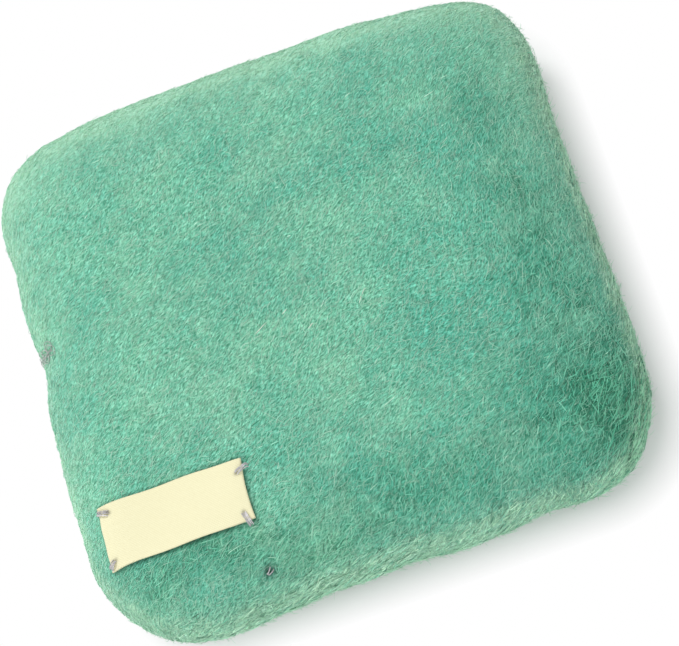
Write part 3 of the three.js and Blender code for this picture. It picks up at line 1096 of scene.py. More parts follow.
def ribbon_material(label):
    """Cream twill: fine diagonal ribs on the ribbon's own map, in millimetres, with soft slubs. It
    is darker between the ribs, partly weave and partly painted shade.
    """
    nodes = new_material("cream_twill")
    weave = nodes.add("ShaderNodeUVMap", {"uv_map": "Weave"})
    diagonal = nodes.add(
        "ShaderNodeTexWave",
        {"wave_type": "BANDS", "bands_direction": "DIAGONAL", "wave_profile": "SIN"},
        {"Vector": weave, "Scale": 0.85, "Distortion": 0.35, "Detail": 1.0, "Detail Scale": 2.0},
        1,
    )
    slub = nodes.noise(weave, RIBBON_SLUBS)
    fine = nodes.noise(weave, RIBBON_YARNS, detail=1.0)
    rib = 0.75 * diagonal + 0.25 * fine
    light = [*label.ribbon, 1]
    deep = [*(channel * left for channel, left in zip(label.ribbon, RIBBON_SHADES)), 1]
    cream = nodes.mix(0.55 * rib + 0.3 * slub + 0.2, deep, light)
    return nodes.surface(
        # The tint carries the painted shade round the needle's holes
        base_color=nodes.vector("MULTIPLY", cream, nodes.tint()),
        roughness=0.55 + 0.25 * rib,
        normal=nodes.bump(rib, *RIBBON_BUMP),
        sheen_weight=0.1,
    )


def thread_material():
    """Spun thread: each strand has its own shade, and its fibres are painted paler on their crests,
    as highlights, and darker between them, as shade.
    """
    nodes = new_material("spun_thread")
    place = nodes.place()
    fibre = nodes.noise(place, THREAD_FIBRES, rough=0.6)
    wander = nodes.noise(place, THREAD_WANDER, detail=1.0)
    deep, light = ([level, level, level, 1] for level in THREAD_SHADES)
    shade = nodes.mix(0.5 * fibre + 0.5 * wander, deep, light)
    return nodes.surface(
        base_color=nodes.vector("MULTIPLY", shade, nodes.tint()),
        roughness=0.5 + 0.3 * fibre,
        normal=nodes.bump(fibre, *THREAD_BUMP),
        sheen_weight=0.2,
    )


# Pieces


def build_cover(scene):
    """The two fleeces of the cover: shells whose outer faces carry the felt's lumps, meeting face
    to face at the rim."""
    shape, felt = scene.mat_shape, scene.mat_felt
    surface = FeltSurface(scene)
    outer = surface.pillow
    inner = Pillow(shape, shape.wall / MM)
    material = felt_material()
    angles = outer.around(POINTS_AROUND)
    for side, rows, name, node in (
        (1, CROWN_ROWS, "felt_upper", "upper_cover"),
        (-1, BELLY_ROWS, "felt_lower", "lower_cover"),
    ):
        smooth, flat = (
            np.insert(part, 1, part[0] + CREASE_SHARE * (part[1] - part[0]), axis=0)
            for part in outer.rings(side, rows, angles)
        )
        normals = outer.normal(smooth)
        rings = smooth + normals * surface.rise(smooth)[..., None]
        rings[..., 2] = np.maximum(rings[..., 2], 0)
        # Painted shade: the open felt and the sides away from the key lamp are darkened
        open_and_shaded = surface.openness_and_side_shade(smooth)
        shade = felt.open_and_side_shade * open_and_shaded * (1 + lattice_noise(smooth, *OPEN_CLUMPS))
        shade = np.clip(shade, 0, DARKEST)
        # Painted sheen and bounce light pale the felt round the rim
        painted_rim_sheen = surface.painted_rim_sheen(smooth, normals)
        tints = paler(surface.tint(smooth), felt.pale_felt_and_sheen, FELT_SHEEN * painted_rim_sheen)
        # dimmed paints shade into the fastening's pit and along the label's edges
        tints = tints * (1 - shade[..., None] * DEEPENING) * surface.dimmed(smooth)
        tints = np.concatenate([tints, crispness(painted_rim_sheen, normals)[..., None]], axis=-1)
        lining, lining_flat = inner.rings(side, LINING_ROWS, angles)
        lining_tints = np.ones((*lining.shape[:2], 4))
        lining_tints[..., :3] = surface.tint(lining)
        pole = outer.pole(side)
        pole[0, 2] = rings[-1, :, 2].mean()
        order = slice(None, None, side)
        ends = (inner.pole(side), pole)[::side]
        rows_of = [
            np.concatenate([inside[::-1], outside])[order]
            for inside, outside in ((lining, rings), (lining_flat, flat), (lining_tints, tints))
        ]
        points, faces = closed_skin(ends[0], rows_of[0], ends[1])
        flat, tints = (
            np.concatenate([part[0, :1], part.reshape(-1, part.shape[-1]), part[-1, :1]])
            for part in rows_of[1:]
        )
        flat = flat + GRAIN_SHIFT * lattice_noise(points, *GRAIN_WANDER)[:, None]
        turn = side * surface.grain(points, np.zeros_like(points))
        away_x, away_y = (flat - SWIRL_MIDDLE).T
        along = away_x * np.cos(turn) + away_y * np.sin(turn)
        across = away_y * np.cos(turn) - away_x * np.sin(turn)
        maps = {"Grain": np.stack([along, across], axis=-1)}
        piece = new_piece(name, points, faces, material, tints, maps)
        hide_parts(node)


def scatter(pillow, count, foot_share, rng):
    """Random places on the pillow, even by area but thinned to foot_share underneath, with their
    normals."""
    angles = pillow.around(SCATTER_AROUND)
    cells, chances = [], []
    for side in (1, -1):
        grid = pillow.rings(side, SCATTER_ROWS, angles)[0]
        pole = np.repeat(pillow.pole(side)[None], SCATTER_AROUND, axis=1)
        grid = np.concatenate([grid, pole])
        here, beside, beyond = grid[:-1], np.roll(grid, -1, axis=1)[:-1], grid[1:]
        area = np.linalg.norm(np.cross(beside - here, beyond - here), axis=-1)
        cells.append(np.stack([here, beside, beyond], axis=-2).reshape(-1, 3, 3))
        chances.append((area * np.where(here[..., 2] < FOOT_HEIGHT, foot_share, 1)).ravel())
    cells, chances = np.concatenate(cells), np.concatenate(chances)
    cell = cells[rng.choice(len(cells), count, p=chances / chances.sum())]
    across, upward = rng.random((2, count, 1))
    points = cell[:, 0] + across * (cell[:, 1] - cell[:, 0]) + upward * (cell[:, 2] - cell[:, 0])
    normals = pillow.normal(points)
    return pillow.settle(points, normals), normals


def level_headings(angles):
    """Level headings at angles from +X."""
    return np.stack([np.cos(angles), np.sin(angles), 0 * angles], axis=-1)


def along_surface(headings, normals):
    """Headings without what points along the normals."""
    return unit(headings - normals * np.sum(headings * normals, axis=-1, keepdims=True))


def over_edges(angles, normals):
    """Level headings carried over the edges: turning +Z onto the normal n takes a level heading h
    to h - (n . h) * (n + Z) / (1 + n_z)."""
    level = level_headings(angles)
    dot = np.sum(normals * level, axis=-1, keepdims=True)
    headings = level - dot * (normals + [0, 0, 1]) / np.maximum(1 + normals[..., 2:], LEAST_UNDER)
    return along_surface(headings, normals)


def combed(points, normals, grain, spread, rng):
    """Headings along the surface: the crown's grain, which wanders a little, carried over the
    edges with the normal and turned about it by a random angle of that spread."""
    heading = over_edges(grain + lattice_noise(points, *GRAIN_WANDER), normals)
    turn = spread * rng.standard_normal(len(normals))
    aside = np.cross(normals, heading)
    return np.cos(turn)[:, None] * heading + np.sin(turn)[:, None] * aside


def laid(surface, roots, normals, headings, lengths, bends, lifts):
    """Fibre paths on the felt. From -1/2 to 1/2 along a fibre the path goes straight along its
    heading, bends aside with the square of that, and stands off the felt by its lifts."""
    steps = lifts.shape[1]
    along = np.linspace(-0.5, 0.5, steps)
    reach = lengths[:, None] * along
    sway = bends[:, None] * lengths[:, None] * (along**2 - 1 / 12)
    aside = np.cross(normals, headings)
    path = roots[:, None] + reach[..., None] * headings[:, None] + sway[..., None] * aside[:, None]
    outward = np.repeat(normals[:, None], steps, axis=1)
    path = surface.pillow.settle(path, outward)
    path = path + outward * (surface.rise(path) + lifts)[..., None]
    path[..., 2] = np.maximum(path[..., 2], LOWEST_FIBRE)
    return path


def plant(name, parts, surface, paths, normals, widths, tints, material, rng):
    """Makes fibre pieces of even size from the paths that keep clear of the label and the pit."""
    under = surface.place.covers(paths, LABEL_CLEARANCE).max(axis=1) > 0.5
    clear = np.nonzero(~under & (surface.pit(paths).max(axis=1) < 0.5))[0]
    rolls = rng.uniform(0, 2 * math.pi, len(paths))
    for k, some in enumerate(np.array_split(clear, parts)):
        points, faces, each = fibre_mesh(paths[some], normals[some], widths[some], rolls[some])
        points[:, 2] = np.maximum(points[:, 2], 0)
        # Painted shade in the fastening's pit and along the label's edges
        dimmed = surface.dimmed(paths[some].mean(axis=1))
        colours = np.repeat(tints[some] * dimmed, each, axis=0)
        cells = {"OFBake": fibre_cells(len(some), paths.shape[1])}
        new_piece(f"{name}_{k + 1}", points, faces, material, colours, cells)


def build_nap(scene):
    """Fibres that lie along the felt, sunk in it at both ends: short and fine on the crown, longer,
    thicker and less alike where the felt is open and on the walls at the front and right."""
    felt, surface = scene.mat_felt, FeltSurface(scene)
    rng = np.random.default_rng(NAP_SEED)
    count = felt.nap_count
    roots, normals = scatter(surface.pillow, count, NAP_UNDERNEATH, rng)
    wall = steepness(normals)
    open_and_shaded = surface.openness_and_side_shade(roots)
    rough = np.maximum(HANDLED_ROUGHNESS * handled(normals), open_and_shaded)
    spread = NAP_TURN - WALL_COMBING * wall + OPEN_TANGLING * open_and_shaded * (1 - wall)
    headings = combed(roots, normals, surface.grain(roots, normals), spread, rng)
    coarse = 1 + COARSENESS * rough
    lengths = felt.nap_length / MM * rng.lognormal(0, LENGTH_SPREAD, count) * coarse
    bends = rng.normal(0, NAP_BEND, count) * (1 - ROUGH_STRAIGHTENING * rough)
    top = rng.gamma(*NAP_STAND, count) * (1 + NAP_WALL_STAND * wall)
    along = np.linspace(-1, 1, NAP_STEPS)
    lifts = top[:, None] * (NAP_ARCH - along**2) - NAP_SINK * along**2
    paths = laid(surface, roots, normals, headings, lengths, bends, lifts)
    thick = felt.nap_width / MM * rng.lognormal(0, WIDTH_SPREAD, count) * coarse
    widths = thick[:, None] * np.ones(NAP_STEPS)
    light = rng.random(count)
    light = np.minimum(NAP_PALENESS * light**3 + PALEST_MORE * (light > PALEST), 1)
    light = light * (1 - NAP_OPEN_PALENESS * open_and_shaded)
    shade = rng.normal(0, NAP_SHADES + ROUGH_SHADES * rough, count)
    shade = np.minimum(shade, LIGHTEST_SHADE)[:, None] * DEEPENING
    # Painted sheen and bounce light pale the fibres round the rim and even their shades
    painted_rim_sheen = surface.painted_rim_sheen(roots, normals)
    shade = shade * crispness(painted_rim_sheen, normals)[:, None]
    painted_rim_sheen = np.minimum(painted_rim_sheen * rng.uniform(0, 2, count), 1)
    tints = paler(paler(surface.tint(roots), felt.pale, light), felt.pale_felt_and_sheen, painted_rim_sheen) * np.exp(shade)
    # Painted shade of the open felt and the sides away from the key lamp
    tints = tints * (1 - NAP_OPEN_SHADE * felt.open_and_side_shade * open_and_shaded[:, None] * OPEN_DEEPENING)
    material = fibre_material("nap_fibre", sheen=0.2)
    plant("nap", FIBRE_PIECES, surface, paths, normals, widths, tints, material, rng)


def build_fuzz(scene):
    """Thin loose fibres: each starts in the felt, leans over and curls off it."""
    felt, surface = scene.mat_felt, FeltSurface(scene)
    rng = np.random.default_rng(FUZZ_SEED)
    count = felt.fuzz_count
    roots, normals = scatter(surface.pillow, count, FUZZ_UNDERNEATH, rng)
    wall = steepness(normals)
    headings = combed(roots, normals, surface.grain(roots, normals), FUZZ_TURN, rng)
    long = rng.random(count) < LONG_SHARE
    lengths = felt.fuzz_length / MM * rng.lognormal(0, LENGTH_SPREAD, count)
    lengths = lengths * np.where(long, LONG_STRETCH, 1)
    bends = rng.normal(0, FUZZ_BEND, count) * (1 - FUZZ_WALL_STRAIGHTENING * wall)
    along = np.linspace(0, 1, FUZZ_STEPS)
    raised = 1 - FUZZ_WALL_FALL * wall + HANDLED_STAND * handled(normals)
    stand = np.minimum(rng.gamma(*FUZZ_STAND, count) * raised, FUZZ_HIGHEST)
    droop = rng.uniform(*FUZZ_DROOP, count)
    lifts = stand[:, None] * (FUZZ_CLIMB * along - droop[:, None] * along**2)
    lifts = lifts - FUZZ_SINK * (1 - along) ** 2
    paths = laid(surface, roots, normals, headings, lengths, bends, lifts)
    thick = felt.fuzz_width / MM * rng.lognormal(0, WIDTH_SPREAD, count)
    widths = thick[:, None] * np.ones(FUZZ_STEPS)
    open_and_shaded = surface.openness_and_side_shade(roots)
    light = FUZZ_PALENESS + (1 - FUZZ_PALENESS) * rng.random(count)
    light = light * (1 - FUZZ_OPEN_PALENESS * open_and_shaded)
    tints = paler(surface.tint(roots), felt.pale, np.maximum(light, long))
    # Painted shade of the open felt and the sides away from the key lamp
    tints = tints * (1 - FUZZ_OPEN_SHADE * felt.open_and_side_shade * open_and_shaded[:, None] * OPEN_DEEPENING)
    # Painted sheen and bounce light pale the fuzz round the rim
    tints = paler(tints, felt.pale_felt_and_sheen, surface.painted_rim_sheen(roots, normals))
    material = fibre_material("fuzz_fibre", sheen=0.3)
    plant("fuzz", FIBRE_PIECES, surface, paths, normals, widths, tints, material, rng)


def build_strays(scene):
    """The few pale fibres on the crown's middle, nearly straight, that stand a little off the felt
    and dip at both ends."""
    surface = FeltSurface(scene)
    rng = np.random.default_rng(STRAY_SEED)
    count = len(STRAYS)
    x, y, heading, lengths = np.array(STRAYS).T
    roots = np.stack([x, y, surface.pillow.height(x, y)], axis=-1)
    normals = surface.pillow.normal(roots)
    headings = along_surface(level_headings(np.radians(heading)), normals)
    along = np.linspace(-1, 1, FUZZ_STEPS)
    lifts = (STRAY_HEIGHT - STRAY_DIP * along**2) * np.ones((count, 1))
    bends = rng.normal(0, STRAY_BEND, count)
    paths = laid(surface, roots, normals, headings, lengths, bends, lifts)
    widths = np.full((count, FUZZ_STEPS), STRAY_WIDTH)
    tints = np.full((count, 3), STRAY_COLOUR)
    material = fibre_material("stray_fibre", sheen=0.3)
    plant("stray", 1, surface, paths, normals, widths, tints, material, rng)


def build_core(scene):
    """The batts: slabs of carded wool between two levels of the core, with rounded edges and a
    combed, slightly hollowed surface."""
    shape, felt = scene.mat_shape, scene.mat_felt
    material = fleece_material(felt)
    core = Pillow(shape, shape.wall / MM + BATT_CLEARANCE)
    angles = core.around(BATT_AROUND)
    rim = core.rim(angles)
    turn = np.linspace(-1, 1, BATT_EDGE_ROWS)[:, None]
    shares = np.linspace(*BATT_FACES, BATT_FACE_ROWS)[:, None, None]
    face = np.ones(BATT_FACE_ROWS)
    inward = np.concatenate([face, -turn[:, 0], -face])
    names = sorted(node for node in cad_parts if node.startswith("core_batt_"))
    for name in names:
        low, high = (corner.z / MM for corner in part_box(name))
        level = (low + high) / 2 + (high - low) / 2 * np.sin(turn * math.pi / 2)
        above = level >= core.rim_z
        pairs = zip(core.halves[1], core.halves[-1])
        tall, plan, power = (np.where(above, crown, belly) for crown, belly in pairs)
        reach = (1 - (np.abs(level - core.rim_z) / tall) ** power) ** (1 / plan)
        reach = reach - BATT_ROUNDING * turn**4
        edge = np.stack(
            [reach * rim * np.cos(angles), reach * rim * np.sin(angles), level + 0 * rim], axis=-1
        )
        floor = edge[0] * [1, 1, 0] * shares[::-1] + [0, 0, low]
        roof = edge[-1] * [1, 1, 0] * shares + [0, 0, high]
        rings = np.concatenate([floor, edge, roof])
        hollow = BATT_HOLLOW + lattice_noise(rings, *BATT_HOLLOWS)
        rings[..., 2] += hollow * inward[:, None]
        ends = np.array([[[0, 0, low + BATT_HOLLOW]], [[0, 0, high - BATT_HOLLOW]]])
        points, faces = closed_skin(ends[0], rings, ends[1])
        piece = new_piece(name.replace("core_", ""), points, faces, material)
        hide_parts(name)


def ribbon_section(label):
    """Middle line of the folded ribbon along its length, as (along, above): a flap, a half-round
    fold, the panel that settles on the felt between the folds, a fold and a flap."""
    half, flap = label.length / MM / 2, label.fold / MM
    thick = label.thickness / MM
    bend = thick * FOLD_RADIUS
    turn = np.linspace(0, math.pi, FOLD_POINTS)[1:-1]
    fold = np.stack([half - bend + bend * np.sin(turn), bend - bend * np.cos(turn)], axis=-1)
    s = np.linspace(-1, 1, PANEL_POINTS) * (half - bend)
    inward = half - flap * PANEL_START - np.abs(s)
    settle = eased(np.clip(inward / (flap * PANEL_REACH), 0, 1))
    panel = np.stack([s, 2 * bend * (1 - PANEL_FALL * settle)], axis=-1)
    inner = np.linspace(half - flap, half - bend, FLAP_POINTS)
    under = np.stack([inner, 0 * inner], axis=-1)
    left = [-1, 1]
    line = np.concatenate([under * left, fold * left, panel, fold[::-1], under[::-1]])
    run = distance_run(np.linalg.norm(np.diff(line, axis=0), axis=1))
    even = np.linspace(0, run[-1], RIBBON_ROWS)
    return np.stack([np.interp(even, run, part) for part in line.T], axis=-1), even


def tack_place(place, corner):
    """Plan place where a tack crosses the label's edge, and its heading."""
    end, edge, in_along, in_across, heading = corner[:5]
    along = np.array(end * (place.length / 2 - in_along))
    across = np.array(edge * (place.width / 2 - in_across))
    turn = math.atan2(place.along[1], place.along[0]) + math.radians(heading)
    return place.plan(along, across), plan_heading(turn)


def build_label(scene):
    """The ribbon: its section carried across the width, laid on the crown and given thickness. The
    tacks pull it down, and its edges stand a little between them. Its right end is drawn in, and
    it is painted darker round the needle's holes, as the shade of holes that are not cut in it."""
    label, surface = scene.mat_label, FeltSurface(scene)
    place = surface.place
    thick = label.thickness / MM
    line, run = ribbon_section(label)
    slope = unit(np.gradient(line, axis=0))
    normal = np.stack([-slope[:, 1], slope[:, 0]], axis=-1)
    width = np.linspace(-0.5, 0.5, RIBBON_COLUMNS) * place.width
    layers, shades = [], []
    for face in (0.5, -0.5):
        along, above = (line + face * thick * normal).T
        along, across = np.meshgrid(along, width, indexing="ij")
        outer = np.clip(np.abs(along) / RIPPLE_START - 1, 0, 1)
        ripple = RIPPLE * np.sin(across * RIPPLE_ACROSS + along * RIPPLE_ALONG) * outer
        right = np.clip(along / (place.length / 2), 0, 1) ** 2
        bowed = along - END_BOW * right**3 * (1 - (2 * across / place.width) ** 2)
        waved = across * (1 - END_TAPER * right) + SIDE_WAVE * np.sin(along * SIDE_WAVES)
        plan = place.plan(bowed, waved)
        points, normals = surface.on_crown(plan)
        curl = EDGE_CURL * (2 * np.abs(across) / place.width) ** 4
        lift = above[:, None] + thick / 2 + RIBBON_GAP + curl
        # Painted shade round the needle's holes, carried in the ribbon's tint
        light = np.ones_like(lift)
        for corner in TACKS.values():
            tack, heading = tack_place(place, corner)
            away = np.sum((plan - tack) ** 2, axis=-1)
            lift = lift - TACK_PULL * np.exp(-away / TACK_PULL_REACH**2)
            hole = tack + (TACK_OVERHANG - corner[5]) * heading
            away = np.sum((plan - hole) ** 2, axis=-1)
            light = light - HOLE_SHADE * np.exp(-away / HOLE_SPREAD)
        layers.append(points + normals * (lift + ripple)[..., None])
        shades.append(light)
    top, under = layers
    rows, columns = top.shape[:2]
    loop = np.concatenate([top, under[:, ::-1]], axis=1)
    points = loop.reshape(-1, 3)
    sides = 2 * columns
    body = ring_triangles(sides, rows)[:, ::-1]
    i = np.arange(columns - 1)
    ends = []
    for start, flip in ((0, False), ((rows - 1) * sides, True)):
        quad = np.stack([i, i + 1, sides - 2 - i, sides - 1 - i], axis=-1) + start
        pair = np.concatenate([quad[:, [0, 1, 2]], quad[:, [0, 2, 3]]])
        ends.append(pair[:, ::-1] if flip else pair)
    faces = np.concatenate([body, *ends])
    lateral = np.concatenate([width, width[::-1]])
    weave = np.stack(np.meshgrid(run, lateral, indexing="ij"), axis=-1).reshape(-1, 2)
    tints = np.concatenate([shades[0], shades[1][:, ::-1]], axis=1).reshape(-1, 1) * np.ones(3)
    material = ribbon_material(label)
    piece = new_piece("label_ribbon", points, faces, material, tints, {"Weave": weave})
    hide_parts("label")


def thread_piece(node, loops, colour, rng):
    """One piece of the strands' meshes, each strand of its own shade of the colour."""
    points, faces = joined(loops)
    shades = rng.lognormal(0, STRAND_SHADES, len(loops))
    sizes = [len(part) for part, _ in loops]
    tints = np.repeat(shades, sizes)[:, None] * np.array(colour)
    piece = new_piece(f"{node}_thread", points, faces, thread_material(), tints)
    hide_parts(node)


def stitches(node, surface, label, plan, heading, colour, rng, *, count, spacing, span, rise, depth):
    """Closed loops of thread side by side, square to the felt: each is a superellipse of power 4
    as long as the span, from rise above the felt to depth below it."""
    foot, normal = (part[0] for part in surface.on_crown(plan[None]))
    ahead = np.array([*heading, 0.0])
    ahead = unit(ahead - normal * (ahead @ normal))
    aside = np.cross(normal, ahead)
    turn = np.arange(STITCH_POINTS) / STITCH_POINTS * 2 * math.pi
    along = np.sign(np.cos(turn)) * np.sqrt(np.abs(np.cos(turn)))
    up = np.sign(np.sin(turn)) * np.sqrt(np.abs(np.sin(turn)))
    strand = label.strand / MM
    loops = []
    for offset in (np.arange(count) - (count - 1) / 2) * strand * spacing:
        path = foot + np.outer(along * span / 2 * rng.uniform(*STITCH_SPANS), ahead)
        path = path + np.outer(offset + rng.normal(0, STITCH_SLANT) * along, aside)
        path = path + np.outer((rise - depth) / 2 + up * (rise + depth) / 2, normal)
        loops.append(thread_mesh(path, aside, strand / 2, STITCH_TWISTS, closed=True))
    thread_piece(node, loops, colour, rng)


def tangle(node, surface, label, plan, rng):
    """Thread fastened off in loops that lie on the felt, woolly with its fibres. Each strand runs
    along its heading on the slope while it circles, so its path is a trochoid, and it rises and
    dips."""
    foot, normal = (part[0] for part in surface.on_crown(plan[None]))
    strand = label.strand / MM
    share = np.linspace(0, 1, LOOP_POINTS)
    loops = []
    for heading, turns, reach, shift in SIDE_LOOPS:
        ahead = over_edges(np.radians(heading), normal)
        aside = np.cross(normal, ahead)
        turn = 2 * math.pi * (turns * share + rng.random())
        radius = LOOP_RADIUS + LOOP_SWELL * np.sin(3 * math.pi * share)
        run = (share - 0.5) * (reach - LOOP_ENDS) + radius * np.cos(turn)
        sway = shift + radius * np.sin(turn)
        path = foot + np.outer(run, ahead) + np.outer(sway, aside)
        path = surface.pillow.settle(path, np.broadcast_to(normal, path.shape))
        normals = surface.pillow.normal(path)
        lift = LOOP_LIFT + LOOP_ROLL * np.sin(turn + 1.0) + LOOP_ARCH * np.sin(math.pi * share)
        path = path + normals * (surface.rise(path) + lift)[:, None]
        loops.append(thread_mesh(path, normals, LOOP_STRAND * strand, LOOP_TWISTS, closed=False))
    woolly = LOOP_SHADE * paler(np.array(label.thread), surface.felt.pale_felt_and_sheen, np.array(LOOP_WOOL))
    thread_piece(node, loops, woolly, rng)


def build_tacks(scene):
    """Hand tacks: four strands of thread side by side over the label's edge near each corner."""
    label, surface = scene.mat_label, FeltSurface(scene)
    rng = np.random.default_rng(TACK_SEED)
    for node, corner in TACKS.items():
        plan, heading = tack_place(surface.place, corner)
        span = corner[5]
        middle = plan + (TACK_OVERHANG - span / 2) * heading
        colour = label.thread
        stitches(node, surface, label, middle, heading, colour, rng, span=span, **TACK_SEWING)


def build_fastenings(scene):
    """Where the thread was fastened off: a small stitch at the front, loose loops at the side."""
    label, surface = scene.mat_label, FeltSurface(scene)
    rng = np.random.default_rng(FASTENING_SEED)
    front, side = FASTENINGS
    plan, side_plan = (fastening_plan(scene.mat_shape, node) for node in FASTENINGS)
    heading = plan_heading(math.radians(FRONT_HEADING))
    # The front stitch's thread is painted lighter than the tacks' grey, as a highlight
    pale = FRONT_HIGHLIGHT * np.array(label.thread)
    stitches(front, surface, label, plan, heading, pale, rng, **FRONT_SEWING)
    tangle(side, surface, label, side_plan, rng)


# Stage


def view_axes():
    """Right, up and back of the photograph's camera in the mat's frame."""
    azimuth, elevation, roll = map(math.radians, (VIEW_AZIMUTH, VIEW_ELEVATION, VIEW_ROLL))
    level = math.cos(elevation)
    back = np.array([math.sin(azimuth) * level, -math.cos(azimuth) * level, math.sin(elevation)])
    right = np.array([math.cos(azimuth), math.sin(azimuth), 0.0])
    up = np.cross(back, right)
    target = np.array([0, 0, VIEW_HEIGHT]) + right * VIEW_ASIDE + up * VIEW_UP
    rolled = right * math.cos(roll) + up * math.sin(roll)
    return rolled, np.cross(back, rolled), back, target


def placed(obj, right, up, back, position):
    """Turns an object's axes to these and puts it there, in millimetres."""
    columns = np.stack([right, up, back], axis=-1)
    matrix = np.eye(4)
    matrix[:3, :3] = columns
    matrix[:3, 3] = np.asarray(position) * MM
    obj.matrix_world = Matrix(matrix.tolist())
    bpy.context.scene.collection.objects.link(obj)
    return obj


def floor_material(stage, shape):
    """White paper that takes shadows. Where it is seen it is lifted to white across the fade, a
    band along the mat's outline, moved to the shadow's side. The distance from a rounded square
    is |max(|p| - straight half side, 0)| - radius."""
    nodes = new_material("white_paper")
    place = nodes.place()
    straight = shape.side / 2 - shape.corner_radius
    shift = tuple(-MM * part for part in SHADOW_SIDE)
    beside = nodes.vector("ABSOLUTE", nodes.vector("MULTIPLY_ADD", place, (1, 1, 0), shift))
    beyond = nodes.vector("SUBTRACT", beside, (straight, straight, 0))
    beyond = nodes.vector("MAXIMUM", beyond, (0, 0, 0))
    distance = nodes.vector("LENGTH", beyond, output=1) - shape.corner_radius
    dull, bright = ((tone, tone, tone, 1) for tone in PAPER_TONES)
    colour = nodes.mix(nodes.noise(place, PAPER_GRAIN), dull, bright)
    paper = nodes.add("ShaderNodeBsdfDiffuse", None, {"Color": colour})
    white = nodes.add("ShaderNodeEmission", None, {"Color": (1, 1, 1, 1), "Strength": 1.0})
    white_at = FADE_OUTSIDE * stage.fade
    lift = stage.whiten + (1 - stage.whiten) * nodes.ramp(distance, white_at - stage.fade, white_at)
    mixed = nodes.add("ShaderNodeMixShader", None, {0: lift * nodes.seen(), 1: paper, 2: white})
    nodes.add("ShaderNodeOutputMaterial", None, {"Surface": mixed})
    return nodes.owner


def white_room(stage):
    """World of even light that looks white."""
    nodes = Nodes(bpy.data.worlds.new("white_room"))
    white = (1, 1, 1, 1)
    sky = nodes.add("ShaderNodeBackground", None, {"Color": white, "Strength": stage.sky})
    backdrop = nodes.add("ShaderNodeBackground", None, {"Color": white, "Strength": 1.0})
    mixed = nodes.add("ShaderNodeMixShader", None, {0: nodes.seen(), 1: sky, 2: backdrop})
    nodes.add("ShaderNodeOutputWorld", None, {"Surface": mixed})
    return nodes.owner


def add_lamp(name, direction, size, level):
    """A round lamp that faces the mat from that direction and adds so much on a level white
    surface under it."""
    toward = unit(np.array(direction))
    data = bpy.data.lights.new(name, "AREA")
    data.shape = "DISK"
    data.size = size * MM
    data.energy = level * (math.pi * LAMP_DISTANCE * MM) ** 2 / toward[2]
    across = unit(np.cross([0, 0, 1.0], toward))
    lamp = bpy.data.objects.new(name, data)
    placed(lamp, across, np.cross(toward, across), toward, toward * LAMP_DISTANCE)


def build_stage(scene):
    """Floor, sky, lamps and the photograph's camera."""
    stage = scene.mat_stage
    mesh = bpy.data.meshes.new("floor")
    signs = np.array([(-1, -1, 0), (1, -1, 0), (1, 1, 0), (-1, 1, 0)])
    corners = (signs * FLOOR_REACH - [0, 0, FLOOR_DROP]) * MM
    mesh.from_pydata(corners.tolist(), [], [(0, 1, 2, 3)])
    mesh.materials.append(floor_material(stage, scene.mat_shape))
    floor = bpy.data.objects.new("floor", mesh)
    scene.collection.objects.link(floor)
    scene.world = white_room(stage)

    add_lamp("key", KEY_FROM, KEY_SIZE, stage.key)
    add_lamp("fill", FILL_FROM, FILL_SIZE, stage.fill)

    data = bpy.data.cameras.new("photo_view")
    data.sensor_width = SENSOR_WIDTH
    data.lens = VIEW_LENS
    data.clip_start = NEAREST_VIEW * MM
    camera = bpy.data.objects.new("photo_view", data)
    right, up, back, target = view_axes()
    scene.camera = placed(camera, right, up, back, target + back * VIEW_DISTANCE)
    scene.view_settings.view_transform = "Standard"


# Operators


class MAT_OT_cover(bpy.types.Operator):
    """Build the felted cover"""

    bl_idname = "mat.cover"
    bl_label = "Felted cover"

    def execute(self, context):
        build_cover(context.scene)
        return {"FINISHED"}


class MAT_OT_nap(bpy.types.Operator):
    """Lay the nap on the felt"""

    bl_idname = "mat.nap"
    bl_label = "Nap"

    def execute(self, context):
        build_nap(context.scene)
        return {"FINISHED"}


class MAT_OT_fuzz(bpy.types.Operator):
    """Add the loose fibres"""

    bl_idname = "mat.fuzz"
    bl_label = "Fuzz"

    def execute(self, context):
        build_fuzz(context.scene)
        return {"FINISHED"}


class MAT_OT_strays(bpy.types.Operator):
    """Add the stray pale fibres"""

    bl_idname = "mat.strays"
    bl_label = "Stray fibres"

    def execute(self, context):
        build_strays(context.scene)
        return {"FINISHED"}


class MAT_OT_core(bpy.types.Operator):
    """Build the wool batts inside"""

    bl_idname = "mat.core"
    bl_label = "Core batts"

    def execute(self, context):
        build_core(context.scene)
        return {"FINISHED"}


class MAT_OT_label(bpy.types.Operator):
    """Build the ribbon label"""

    bl_idname = "mat.label"
    bl_label = "Label"

    def execute(self, context):
        build_label(context.scene)
        return {"FINISHED"}


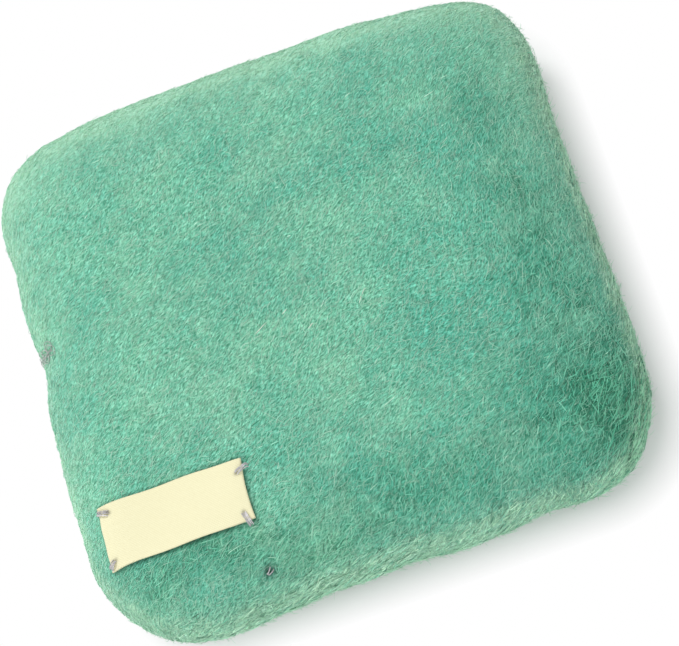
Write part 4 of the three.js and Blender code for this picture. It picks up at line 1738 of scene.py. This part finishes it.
class MAT_OT_tacks(bpy.types.Operator):
    """Sew the label down"""

    bl_idname = "mat.tacks"
    bl_label = "Label tacks"

    def execute(self, context):
        build_tacks(context.scene)
        return {"FINISHED"}


class MAT_OT_fastenings(bpy.types.Operator):
    """Add the stitches that end the thread"""

    bl_idname = "mat.fastenings"
    bl_label = "Fastening stitches"

    def execute(self, context):
        build_fastenings(context.scene)
        return {"FINISHED"}


class MAT_OT_stage(bpy.types.Operator):
    """Set up floor, light and camera"""

    bl_idname = "mat.stage"
    bl_label = "Stage"

    def execute(self, context):
        build_stage(context.scene)
        return {"FINISHED"}


OPERATORS = (
    MAT_OT_stage,
    MAT_OT_cover,
    MAT_OT_core,
    MAT_OT_label,
    MAT_OT_tacks,
    MAT_OT_fastenings,
    MAT_OT_nap,
    MAT_OT_fuzz,
    MAT_OT_strays,
)


class MAT_PT_builder(bpy.types.Panel):
    """Lists the mat's pieces"""

    bl_label = "Felting mat"
    bl_idname = "MAT_PT_builder"
    bl_space_type = "VIEW_3D"
    bl_region_type = "UI"
    bl_category = "Mat"

    def draw(self, context):
        for operator in OPERATORS:
            self.layout.operator(operator.bl_idname)


GROUPS = {
    "mat_shape": MatShape,
    "mat_felt": FeltLook,
    "mat_label": LabelLook,
    "mat_stage": StageLook,
}


def register():
    for group in GROUPS.values():
        bpy.utils.register_class(group)
    for name, group in GROUPS.items():
        setattr(bpy.types.Scene, name, bpy.props.PointerProperty(type=group))
    for operator in OPERATORS:
        bpy.utils.register_class(operator)
    bpy.utils.register_class(MAT_PT_builder)


def unregister():
    bpy.utils.unregister_class(MAT_PT_builder)
    for operator in reversed(OPERATORS):
        bpy.utils.unregister_class(operator)
    for name in GROUPS:
        delattr(bpy.types.Scene, name)
    for group in reversed(GROUPS.values()):
        bpy.utils.unregister_class(group)


def main():
    """Builds every piece."""
    register()
    for operator in OPERATORS:
        group, name = operator.bl_idname.split(".")
        getattr(getattr(bpy.ops, group), name)()


if __name__ == "__main__":
    main()
